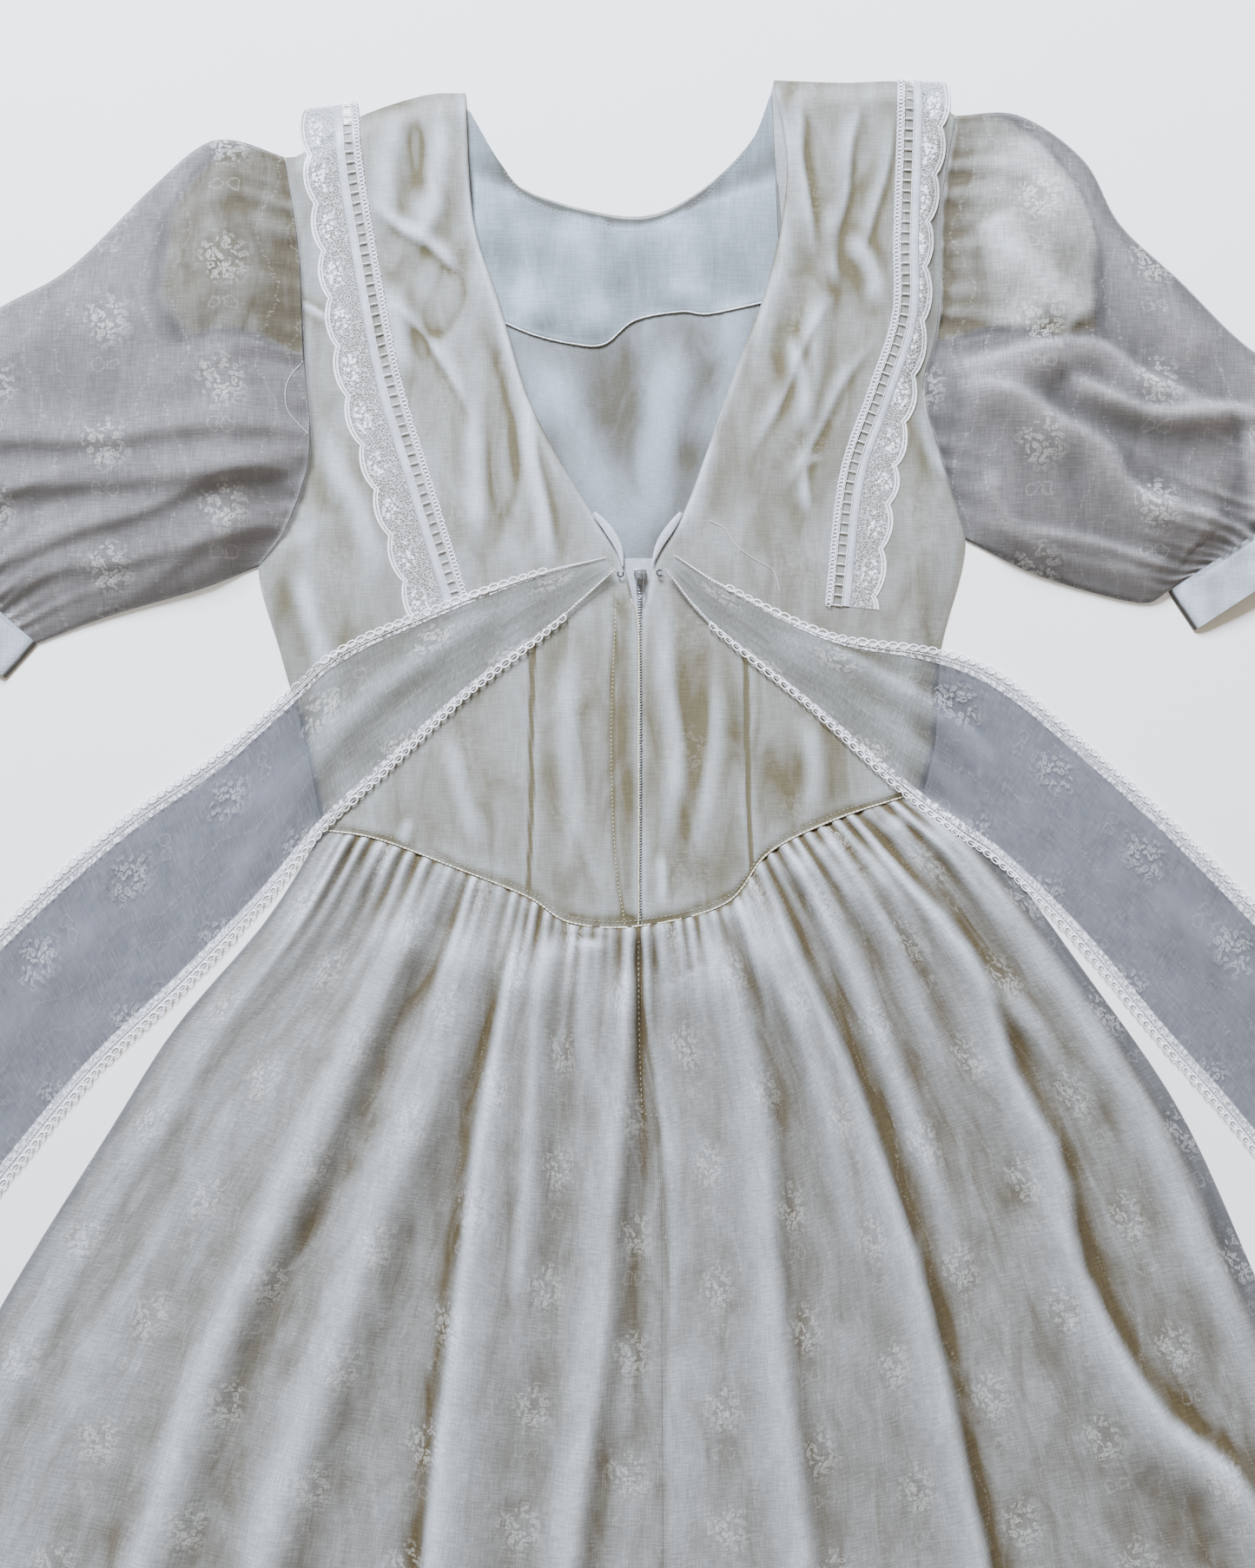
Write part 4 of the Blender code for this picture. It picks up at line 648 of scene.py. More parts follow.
across, down = even(96), even(190)
back_edge = {"left": V_LEFT + LAP_LEFT[1:], "right": V_RIGHT + LAP_RIGHT[1:]}
bodice_plans = {
    "left": panel(smooth_line(SHOULDER_LEFT, across), smooth_line(WAIST_LEFT, across),
                  body_side(ARMHOLE_LEFT, SIDE_LEFT, down), smooth_line(back_edge["left"], down),
                  across, down),
    "right": panel(smooth_line(SHOULDER_RIGHT[::-1], across), smooth_line(WAIST_RIGHT, across),
                   smooth_line(back_edge["right"], down), body_side(ARMHOLE_RIGHT, SIDE_RIGHT, down),
                   across, down)}
for side, plan in bodice_plans.items():
    edge = back_edge[side]
    heights, free = bodice_heights(plan, across, down, side, DARTS[side], edge)
    if side == "left":
        heights = heights + folds(plan, LAP_BAND, 0.05)
        heights = heights - LAP_STITCH_DEPTH * near_line(plan, LAP_STITCH, STITCH_WIDTH)
    # Painted shade and highlight: dark in the hollows of broad folds and fine creases and light on
    # their ridges, a little darker overall, at the foot, to the right, along the stitching and the lap,
    # and a painted highlight along the edge.
    fold = BROAD_FOLD_SHADE * fold_mark(free, 60, 1.1) + FINE_CREASE_SHADE * fold_mark(free, 9, 0.4)
    fold = fold - BODICE_SHADE - FOOT_SHADE * soft_step(200 - plan[..., 1], 0, 40)
    fold = fold - RIGHT_SHADE * soft_step(plan[..., 0], 0, 60)
    fold = fold - STITCH_SHADE * near_line(plan, LAP_STITCH, STITCH_WIDTH)
    fold = fold - STITCH_SHADE * near_line(plan, DARTS[side], 0.6)
    if side == "left":
        fold = fold - LAP_SHADE * near_line(plan, LAP_BAND[0][3], 4.2)
    fold = np.clip(fold + EDGE_LIGHT * near_line(plan, edge, 1.4), 0, 1)
    full_plan, full_heights = turned_under(plan, heights, side == "left")
    pad = ((0, 0), (0, 3)) if side == "left" else ((0, 0), (3, 0))
    bodice = lay(f"back_bodice_{side}_cloth", full_plan, full_heights, cream_voile,
                 marks={"fold": np.pad(fold, pad, mode="edge")})
    dressed(bodice, [f"back_bodice_{side}"])
cream_thread = sewing_thread("cream_sewing_cotton", "D9CFAE")
row_of("lap_stitches", path_on(LAP_STITCH, 0.1), 2.4, (0.75, 0.25, 0.2), cream_thread)
lap_edge = [(x - 0.6, y) for x, y in LAP_LEFT[1:]]
row_of("lap_edge_roll", path_on(lap_edge, 0.05, 300), 1.6, (1.2, 0.5, 0.3), cream_thread)

# The skirt: two halves of sheer floral voile gathered into the waist seam over an ivory lining.
# It falls in long uneven folds that fan out from the waist. The sheer reaches past the lining.
CENTRE_SEAM = [(1, 0), (2.6, -68), (12.8, -145), (14, -273), (15, -500), (14, HEM_Y)]
SKIRT_FOLDS = [
    # height, spread to the right, spread to the left, line
    (-3.4, 9, 9, [(-144, 41), (-175, -9), (-211, -52), (-240, -85), (-330, -230), (-420, -420)]),
    (8.8, 13, 10, [(-121, 37), (-136, 4), (-156, -48), (-208, -161), (-249, -253), (-274, -325),
        (-340, -520), (-400, -780)]),
    (-3.4, 8, 8, [(-100, 29), (-121, -17), (-146, -68), (-172, -135), (-228, -248), (-270, -400)]),
    (10.1, 12, 14, [(-90, 24), (-97, -17), (-121, -94), (-156, -181), (-187, -273), (-223, -379),
        (-262, -560), (-300, -780)]),
    (11.5, 22, 4.5, [(-67, 11), (-79, -58), (-90, -119), (-100, -196), (-110, -273), (-118, -343),
        (-140, -560), (-165, -785)]),
    (5.4, 8, 5, [(-49, 1), (-57, -43), (-62, -119), (-67, -196), (-74, -300)]),
    (4.1, 6, 6, [(-28, -4), (-31, -43), (-28, -120)]),
    (8.8, 6, 14, [(-5, -4), (-9, -68), (-18, -171), (-23, -248), (-38, -350), (-60, -560), (-80, -787)]),
    (-4.1, 7, 7, [(2, -2), (3, -68), (8, -145), (6, -273), (4, -400)]),
    (9.5, 7, 16, [(28, 5), (47, -21), (61, -66), (71, -116), (77, -204), (83, -268), (94, -358),
        (112, -560), (130, -787)]),
    (4.7, 6, 6, [(54, 22), (73, -16), (94, -56), (106, -94), (118, -150), (130, -230)]),
    (11.5, 4.5, 20, [(71, 33), (87, -9), (111, -62), (128, -104), (158, -192), (172, -247), (189, -323),
        (201, -377), (235, -560), (262, -780)]),
    (5.4, 6, 6, [(87, 48), (111, 7), (130, -33), (147, -81), (172, -147), (196, -230)]),
    (4.1, 5, 7, [(109, 57), (125, 24), (147, -9), (172, -66), (200, -130)]),
    (10.8, 5, 17, [(125, 64), (144, 36), (182, -5), (204, -47), (217, -88), (244, -139), (253, -192),
        (277, -245), (308, -292), (364, -351), (430, -560)]),
    (4.7, 6, 6, [(147, 71), (163, 33), (196, -21), (236, -66), (270, -120)]),
    (7.4, 6, 12, [(163, 76), (182, 57), (215, 14), (258, -37), (289, -88), (322, -151), (336, -192),
        (364, -247), (420, -400)]),
    (6.8, 16, 16, [(-330, -250), (-380, -420), (-440, -600), (-470, -770)]),
    (6.8, 16, 16, [(-180, -420), (-210, -580), (-235, -785)]),
    (6.1, 16, 16, [(60, -420), (66, -580), (70, -787)]),
    (6.8, 16, 16, [(290, -420), (330, -580), (356, -778)])]
GATHER_SPACING, GATHER_HEIGHT, GATHER_SEED, GATHER_REACH = 8.5, 4.4, 11, (14.0, 110.0)
WAIST_LENGTH, SKIRT_LENGTH = 395.0, 800.0
SKIRT_Z, SKIRT_LOWEST = 3.2, 2.4
WAIST_DIP, WAIST_DIP_REACH, CENTRE_DIP, CENTRE_DIP_WIDTH = 2.0, 2.5, 1.2, 2.2
SKIRT_SHADE, SKIRT_RIGHT_SHADE, GATHER_SHADE_REACH = 0.02, 0.08, 80.0
HALF_GAP, SKIRT_FLAT_WIDTH = 0.15, 920.0
LINING_DROP = 0.8
WIDER_EVERY = 260
PLACKET = [(0, -9), (0.5, -60), (2, -104), (3.5, -110), (17, -112)]


def gathers(share, distance, length, spacing, height, seed, reach=(9.0, 55.0)):
    """Fine pleats that start at a seam: each has its own width, height and length."""
    random = np.random.default_rng(seed)
    total = np.zeros(np.broadcast(share, distance).shape)
    place = spacing / 2
    while place < length - spacing / 3:
        tall, fade = height * random.uniform(0.45, 1.25), random.uniform(*reach)
        wide = spacing * random.uniform(0.2, 0.34)
        away = share * length - place
        bell = np.exp(-0.5 * (away / (wide * (1 + distance / WIDER_EVERY))) ** 2)
        total = total + tall * np.exp(-distance / fade) * bell
        place += spacing * random.uniform(0.7, 1.35)
    return total


def cloth_map(run, rim, shape):
    """The place of each point on the flat cloth, from its two measures there."""
    return np.stack([np.broadcast_to(run, shape), np.broadcast_to(rim, shape)], axis=2)


SKIRT_HALF = 180
across = even(2 * SKIRT_HALF)
down = np.linspace(0, 1, 220) ** 1.35
outer = smooth_line(SKIRT_LEFT, down), smooth_line(SKIRT_RIGHT, down)
seam = smooth_line(CENTRE_SEAM, down)
half = even(SKIRT_HALF)
left_half = panel(smooth_line(WAIST_LEFT, half), smooth_line(HEM_LEFT, half), outer[0], seam, half, down)
right_half = panel(smooth_line(WAIST_RIGHT, half), smooth_line(HEM_RIGHT, half), seam, outer[1], half, down)
skirt_plan = np.concatenate([left_half, right_half[:, 1:]], axis=1) - (0.0, SEAM_GAP)
distance = down[:, None] * SKIRT_LENGTH
edge = soft_step(across, 0, 0.045) * soft_step(1 - across, 0, 0.045)
pleats = gathers(across[None, :], distance, WAIST_LENGTH, GATHER_SPACING, GATHER_HEIGHT, GATHER_SEED,
                 GATHER_REACH)
heights = SKIRT_Z + folds(skirt_plan, SKIRT_FOLDS, 0.06, 0.45) + pleats
heights = heights + 0.8 * ripple(skirt_plan, 150, 8) + 0.25 * ripple(skirt_plan, 40, 9)
heights -= WAIST_DIP * np.exp(-distance / WAIST_DIP_REACH)
heights -= CENTRE_DIP * near_line(skirt_plan, CENTRE_SEAM, CENTRE_DIP_WIDTH)
heights = SEAM_Z + edge[None, :] * (np.maximum(soften(heights, 1) + 1.5, SKIRT_LOWEST) - SEAM_Z)
# Painted shade in the hollows and a painted highlight on the ridges of the folds, stronger in the gathers
# near the waist, a little darker overall and towards the right.
skirt_fold = 0.5 * fold_mark(heights, 130, 2.6) + 0.5 * fold_mark(heights, 16, 0.8)
skirt_fold = skirt_fold + 0.5 * (fold_mark(heights, 6, 0.35) - 0.5) * np.exp(-distance / GATHER_SHADE_REACH)
skirt_fold = skirt_fold - SKIRT_SHADE - SKIRT_RIGHT_SHADE * soft_step(skirt_plan[..., 0], 60, 220)

# Close ivory lining: it gives the sheer skirt over it its pale ground.
ivory_lining = voile("ivory_lining_cloth", "BEC1C1", "504630", printed=0.0, thread=0.6, roughness=0.6)
# The lining has half as many points as the skirt over it, and ends short of its edges and hem.
grid = slice(0, 214, 2), slice(4, -4, 2)
lining_heights = np.minimum(soften(heights, 2), heights)[grid] - LINING_DROP
lining_heights = np.maximum(lining_heights, np.minimum(0.9, heights[grid] - 0.35))
# The lining carries the skirt's painted shade and highlight.
lining = lay("skirt_lining_cloth", skirt_plan[grid], lining_heights, ivory_lining,
             marks={"fold": skirt_fold[grid]})
dressed(lining, ["skirt_lining"])

# Sheer printed voile: it looks pale over the lining, and grey where it reaches past the lining.
# Its folds carry painted shade and highlight.
floral_voile = voile("sheer_floral_voile", "C0C6CA", "554A33", ground="797A7C", alpha=0.76, printed=0.20)
over = soft_step(across, 0.003, 0.010) * soft_step(1 - across, 0.012, 0.026)
weave = cloth_map(across * SKIRT_FLAT_WIDTH, -distance, skirt_plan.shape[:2])
for side, part, seam_column, gap in (("left", slice(0, SKIRT_HALF + 1), -1, -HALF_GAP),
                                     ("right", slice(SKIRT_HALF, None), 0, HALF_GAP)):
    plan = skirt_plan[:, part].copy()
    plan[:, seam_column, 0] += gap
    skirt = lay(f"back_skirt_{side}_cloth", plan, heights[:, part], floral_voile, weave=weave[:, part],
                marks={"fold": skirt_fold[:, part], "over": np.broadcast_to(over[part], plan.shape[:2])})
    dressed(skirt, [f"back_skirt_{side}"])

seam_thread = sewing_thread("ivory_seam_cotton", "D6D0BC")
waist_line = WAIST_LEFT + WAIST_RIGHT[1:]
row_of("waist_seam_roll", path_on([(x, y + 0.6) for x, y in waist_line], 0.15, 400), 2.4, (1.5, 0.6, 0.4),
       seam_thread)
row_of("waist_topstitch", path_on([(x, y + 4.0) for x, y in waist_line], 0.1, 400), 2.6, (0.8, 0.2, 0.16),
       shaded_thread)
row_of("placket_stitches", path_on(PLACKET, 0.1, 300), 3.2, (0.9, 0.2, 0.16), shaded_thread)

# The puffed sleeves: sheer floral voile, gathered into the armhole and into a plain cuff. A pouf
# of doubled cream voile inside the head holds it up and shows through it.
SLEEVE_TOP = {
    "left": [
        (-208.2, 453.8), (-238.5, 464), (-259, 460), (-289.7, 433.3), (-335.9, 388.2), (-376.9, 365.1),
        (-438, 327), (-461, 263)],
    "right": [
        (187, 478.5), (224.6, 478.5), (262.6, 452.3), (284.1, 414.4), (319.5, 381), (364.1, 338.5),
        (423, 308), (433, 279)]}
SLEEVE_LOW = {
    "left": [(-224.1, 212.3), (-258.5, 199), (-310.8, 183.6), (-354.4, 167.2)],
    "right": [(192.8, 228), (238.5, 206.2), (294.9, 191), (312.3, 197.9)]}
ARMHOLES = {"left": ARMHOLE_LEFT, "right": ARMHOLE_RIGHT}
SLEEVE_FOLDS = {
    "left": [
        (6, 9, 5, [(-420, 290), (-377, 287), (-315, 286), (-269, 292), (-195, 295)]),
        (6, 9, 5, [(-420, 262), (-377, 259), (-323, 261), (-277, 264), (-194, 272)]),
        (6.8, 9, 4, [(-410, 200), (-377, 212), (-331, 232), (-285, 246), (-238, 267), (-194, 270)]),
        (6, 7, 4, [(-400, 186), (-377, 195), (-338, 210), (-300, 215), (-254, 227), (-200, 243)]),
        (3.8, 5, 3, [(-330, 176), (-309, 184), (-278, 207), (-249, 229)]),
        (4.5, 12, 9, [(-440, 310), (-390, 330), (-330, 352), (-262, 362)]),
        (-3.8, 9, 9, [(-400, 240), (-350, 246), (-290, 252), (-230, 254)])],
    "right": [
        (6.8, 4.5, 13, [(177, 323), (215, 332), (254, 339), (272, 335), (292, 321), (315, 312), (331, 304),
            (360, 300)]),
        (6, 4, 7, [(245, 321), (269, 310), (300, 299), (331, 301), (363, 303), (395, 300)]),
        (7.5, 5, 13, [(182, 316), (215, 310), (246, 292), (269, 279), (285, 256), (315, 243), (335, 238),
            (346, 222)]),
        (4.5, 5, 4, [(356, 306), (360, 273), (363, 232)]),
        (4.5, 3, 6, [(198, 270), (206, 263), (209, 247), (223, 233), (254, 227), (285, 219), (318, 208)]),
        (3, 3, 4, [(196, 243), (223, 227), (254, 215), (285, 207), (314, 194)]),
        (5.2, 12, 12, [(215, 470), (250, 430), (290, 380), (340, 330)]),
        (3.8, 9, 9, [(205, 420), (230, 380), (262, 350)])]}
PUFF_HEIGHT, CUFF_HEIGHT, ARMHOLE_Z = 22.0, 6.5, 4.2
SLEEVE_LENGTH, CUFF_DEPTH = 230.0, 28.0
SLEEVE_EDGE_Z, SLEEVE_LOWEST, UNDER_Z = 0.9, 3.2, 0.35
SLEEVE_GATHERS, SLEEVE_GATHER_REACH = 2.8, (14.0, 60.0)
POUF_ROWS, POUF_COLUMNS, POUF_GAP, POUF_LOWEST = 40, 60, 1.6, 0.8
POUF_COVER, POUF_RIM_SHADE, POUF_RIM_WIDTH = 0.92, 0.22, 0.022
# The left sleeve is pressed flatter than the right one, and its pouf shows through it in darker
# painted shade.
SLEEVE_FOLD_SHARE = {"left": 0.6, "right": 1.0}
POUF_SHADE = {"left": 0.27, "right": 0.08}
HEAD_OUTLINE = {
    # where the pouf ends: share along the sleeve at shares across it
    "left": ([0.0, 0.10, 0.25, 0.38, 0.47], [0.05, 0.24, 0.30, 0.26, 0.04]),
    "right": ([0.0, 0.12, 0.3, 0.42, 0.52], [0.05, 0.34, 0.40, 0.30, 0.04])}
SLEEVE_GRID = 110

# The same sheer voile in one layer over air, so it looks greyer and its print stands out more. The
# pouf is doubled and all but plain. The cuff is pressed cotton in two layers, smooth and blue-white.
# All three have painted shade in their hollows and a painted highlight on their ridges, strongest on
# the cuff.
sleeve_voile = voile("sheer_sleeve_voile", "C4C7C6", "544C3A", ground="737070", alpha=0.74, printed=0.26,
                     contrast=1.5)
pouf_voile = voile("doubled_cream_voile", "B9B9B1", "5B513B", printed=0.04)
cuff_cloth = voile("pressed_cuff_cotton", "D2DDEA", "524F4A", printed=0.0, contrast=2.6)


def length_of(line):
    """The length of a line of points."""
    return np.linalg.norm(np.diff(line, axis=0), axis=1).sum()


def tube(plan, step, *layers):
    """Adds the underside to a plan, and to layers of values that each have one value there."""
    under = plan[:, ::-step][:, 1:-1]
    closed = [np.concatenate([plan, under], axis=1)]
    for upper, below in layers:
        closed.append(np.concatenate([upper, np.full(under.shape[:2], below)], axis=1))
    return closed


across, along = even(SLEEVE_GRID), even(SLEEVE_GRID)
for side in ("left", "right"):
    sign = -1 if side == "left" else 1
    high, low = np.array(SLEEVE_TOP[side][-1]), np.array(SLEEVE_LOW[side][-1])
    seam = smooth_line(ARMHOLES[side], across) + (sign * 0.3, 0)
    plan = panel(seam, smooth_line([tuple(high), tuple(low)], across),
                 smooth_line([tuple(seam[0])] + SLEEVE_TOP[side][1:], along),
                 smooth_line([tuple(seam[-1])] + SLEEVE_LOW[side][1:], along), across, along)
    from_seam, from_cuff = along[:, None] * SLEEVE_LENGTH, (1 - along[:, None]) * SLEEVE_LENGTH
    rounding = np.sin(np.pi * np.clip(across, 0, 1)) ** 0.55
    profile = PUFF_HEIGHT * soft_step(along, -0.05, 0.24) * (1 - 0.4 * soft_step(along, 0.2, 0.7))
    profile = np.where(along > 0.7, profile + (CUFF_HEIGHT - profile) * soft_step(along, 0.7, 1.0), profile)
    profile[:1] = ARMHOLE_Z
    heights = profile[:, None] + SLEEVE_FOLD_SHARE[side] * folds(plan, SLEEVE_FOLDS[side], 0.12)
    for distance, width, spacing, seed in ((from_seam, length_of(seam), 15.0, 21),
                                           (from_cuff, np.linalg.norm(high - low), 6.0, 22)):
        heights = heights + gathers(across[None, :], distance, width, spacing, SLEEVE_GATHERS, seed,
                                    SLEEVE_GATHER_REACH)
    raised = np.maximum(heights + 0.6 * ripple(plan, 45, 23), SLEEVE_LOWEST)
    heights = SLEEVE_EDGE_Z + rounding[None, :] * (raised - SLEEVE_EDGE_Z)
    # Painted shade and highlight from the sleeve's folds, fainter on the left sleeve.
    fold = 0.55 * fold_mark(heights, 140, 2.4) + 0.45 * fold_mark(heights, 10, 0.7)
    if side == "left":
        fold = 0.5 + 0.35 * (fold - 0.5)

    share_across, reach = HEAD_OUTLINE[side]
    span = share_across[-1]
    ends = np.interp(even(POUF_COLUMNS) * span, share_across, reach)
    head_rows = even(POUF_ROWS)[:, None] * ends[None, :] + 0.004
    head_columns = np.broadcast_to(0.02 + even(POUF_COLUMNS) * (span - 0.02), head_rows.shape)

    def at(values):
        """Values of the sleeve's grid at the pouf's places on it."""
        r, c = head_rows * SLEEVE_GRID, head_columns * SLEEVE_GRID
        r0, c0 = np.minimum(r.astype(int), SLEEVE_GRID - 1), np.minimum(c.astype(int), SLEEVE_GRID - 1)
        fr, fc = (r - r0)[..., None], (c - c0)[..., None]
        grid = values if values.ndim == 3 else values[..., None]
        upper = grid[r0, c0] * (1 - fc) + grid[r0, c0 + 1] * fc
        lower = grid[r0 + 1, c0] * (1 - fc) + grid[r0 + 1, c0 + 1] * fc
        return upper * (1 - fr) + lower * fr

    fall = 1.0 - 0.45 * even(POUF_ROWS)[:, None] ** 4
    head_heights = np.maximum((at(heights)[..., 0] - POUF_GAP) * fall, POUF_LOWEST)
    pouf = lay(f"sleeve_pouf_{side}", at(plan), head_heights, pouf_voile,
               marks={"fold": fold_mark(head_heights, 20, 1.6)}, base=False)
    dressed(pouf, [f"sleeve_head_{side}"])

    limit = np.interp(across, share_across, reach)
    on_pouf = soft_step(limit[None, :] * (across < span) - along[:, None], -0.01, 0.03)
    # A painted shadow along the pouf's lower edge, and painted shade over the pouf.
    rim = np.exp(-(((limit[None, :] + 0.012 - along[:, None]) / POUF_RIM_WIDTH) ** 2)) * (across < span)
    fold -= POUF_RIM_SHADE * rim * soft_step(along, 0.03, 0.1)[:, None]
    fold -= POUF_SHADE[side] * on_pouf
    round_plan, round_heights, fold, over = tube(plan, 4, (heights, UNDER_Z), (fold, 0.5),
                                                 (POUF_COVER * on_pouf, 0.0))
    sleeve = lay(f"sleeve_{side}_cloth", round_plan, round_heights, sleeve_voile,
                 marks={"fold": fold, "over": over}, closed=True)
    dressed(sleeve, [f"sleeve_{side}"])

    out = np.array([(low - high)[1], -(low - high)[0]]) / np.linalg.norm(low - high)
    out = out if out[1] < 0 else -out
    cuff_across = even(50)
    steps = np.linspace(0.3, CUFF_DEPTH, 26)
    cuff_plan = high + cuff_across[None, :, None] * (low - high) + steps[:, None, None] * out
    band = np.exp(-0.5 * ((steps - 2.2) / 0.7) ** 2)[:, None]
    arch = np.sin(np.pi * cuff_across)[None, :]
    cuff_heights = SLEEVE_EDGE_Z + (CUFF_HEIGHT + 0.8) * arch ** 0.5
    cuff_heights = cuff_heights - 0.5 * band * arch + 0.5 * ripple(cuff_plan, 26, 31) * arch
    round_plan, round_heights, fold = tube(cuff_plan, 2, (cuff_heights, UNDER_Z),
                                           (fold_mark(cuff_heights, 10, 0.8), 0.5))
    cuff = lay(f"cuff_{side}_cloth", round_plan, round_heights, cuff_cloth, marks={"fold": fold}, closed=True)
    dressed(cuff, [f"cuff_{side}"])

# The shoulder trims: beading, which is a cotton ladder between a looped braid and a plain tape,
# and a scalloped cotton lace along its outer side. Both are sewn flat on the bodice.
TRIMS = {
    # x and y of the inner edge, and the whole width there
    "left": [
        (-165.5, 486, 36), (-162, 450, 36), (-156.4, 413.8, 36), (-141, 329.7, 38), (-123.1, 268.7, 38),
        (-98, 188, 38)],
    "right": [
        (152.8, 499.5, 33), (151.3, 451.3, 29), (149.7, 404.1, 24.5), (149, 360, 23.5), (134.9, 315.9, 30),
        (118, 265, 36), (109.7, 190, 33)]}
BRAID_WIDTH, LADDER_WIDTH, TAPE_WIDTH = 4.5, 5.3, 5.0
STRIPS = {"braid": (0.0, BRAID_WIDTH), "tape": (BRAID_WIDTH + LADDER_WIDTH,
                                                BRAID_WIDTH + LADDER_WIDTH + TAPE_WIDTH)}
TRIM_WIDTH, STRIP_BULGE, STRIP_POINTS = 15.3, 0.35, 6
LADDER_PITCH = 6.0
LACE_START, LACE_FLAT_WIDTH = 15.1, 0.024
SCALLOP_PITCH, SCALLOP_DEPTH = 28.0, 4.0


def net_lace(name, thread, ground, cluster_pitch, net=1.5):
    """Machine lace: a fine cotton net with dense flower clusters and two cords along its border.

    The cloth map runs along the lace, and across it from its outer edge. Net holes are 0.8 mm,
    drawn at 1.5 mm to show.
    """
    made, tree = bare_material(name)
    place = add(tree, "ShaderNodeUVMap", uv_map=CLOTH_UV)
    in_mm = add(tree, VECTOR_MATH, (place, (1000, 1000, 0)), operation="MULTIPLY")
    parts = add(tree, "ShaderNodeSeparateXYZ", (in_mm,))
    along, rim = parts.outputs[0], parts.outputs[1]
    cells = add(tree, VORONOI, {"Vector": in_mm, "Scale": 1 / net}, feature="DISTANCE_TO_EDGE")
    mesh = add(tree, MAP_RANGE, {"Value": cells.outputs["Distance"], "From Min": 0.15, "From Max": 0.05})
    turn = add(tree, MATH, (along, cluster_pitch), operation="FLOORED_MODULO")
    centred = add(tree, MATH, (turn, cluster_pitch / 2), operation="SUBTRACT")
    across_cluster = add(tree, MATH, (rim, 9.5), operation="SUBTRACT")
    spot = add(tree, JOIN_XYZ, (centred, across_cluster))
    shaped = add(tree, VECTOR_MATH, (spot, (1 / 10.5, 1 / 6.0, 0)), operation="MULTIPLY")
    uneven = add(tree, NOISE, {"Vector": in_mm, "Scale": 0.35, "Detail": 2.0})
    reach = add(tree, VECTOR_MATH, (shaped,), operation="LENGTH")
    frayed = add(tree, MATH, (uneven, 0.9, reach.outputs["Value"]), operation="MULTIPLY_ADD")
    cluster = add(tree, MAP_RANGE, {"Value": frayed, "From Min": 1.45, "From Max": 1.15})
    petals = add(tree, VORONOI, {"Vector": in_mm, "Scale": 0.42})
    petal = add(tree, MAP_RANGE, {"Value": petals.outputs["Distance"], "From Min": 0.58, "From Max": 0.42})
    dense = add(tree, MATH, (cluster, petal), operation="MULTIPLY")
    cords = []
    for middle, half in ((0.7, 0.55), (2.6, 0.4)):
        past = add(tree, MATH, (rim, middle), operation="SUBTRACT")
        away = add(tree, MATH, (past,), operation="ABSOLUTE")
        cords.append(add(tree, MAP_RANGE, {"Value": away, "From Min": half + 0.25, "From Max": half}))
    border = add(tree, MATH, cords, operation="MAXIMUM")
    solid = add(tree, MATH, (dense, border), operation="MAXIMUM")
    thin = add(tree, MATH, (mesh, 0.72), operation="MULTIPLY")
    shown = add(tree, MATH, (thin, solid), operation="MAXIMUM")
    over = add(tree, ATTRIBUTE, attribute_name="over").outputs["Fac"]
    base = add(tree, MIX, {SHARE: over, FIRST: linear(ground), SECOND: linear("8A8782")}, data_type="RGBA")
    colour = add(tree, MIX, {SHARE: shown, FIRST: base.outputs[MIXED], SECOND: linear(thread)},
                 data_type="RGBA")
    see_through = add(tree, MAP_RANGE, {"Value": shown, "To Min": 0.40, "To Max": 0.98})
    bump = add(tree, BUMP, {"Height": shown, "Strength": 0.7, "Distance": 0.0005})
    shader = add(tree, SURFACE, {
        "Base Color": colour.outputs[MIXED], "Roughness": 0.75, "Alpha": see_through, "Normal": bump,
        "Sheen Weight": 0.1, "Specular IOR Level": 0.25})
    add(tree, OUTPUT, (shader,))
    return made


def beside(table, shares, offsets, sign):
    """Plan points at given distances to one side of a line."""
    line = smooth_line(table, shares)[:, :2]
    forward = np.gradient(line, axis=0)
    forward /= np.linalg.norm(forward, axis=1)[:, None]
    outward = np.stack([forward[:, 1], -forward[:, 0]], axis=1)
    outward *= sign * np.sign(outward[:, :1])
    return line[:, None] + offsets[..., None] * outward[:, None]


def settled(ground):
    """A trim's heights on the cloth under it, close to it but without its smallest dips."""
    return np.maximum(soften(draped(ground, CLOTH_GAP, 6), 2), ground + 0.3)


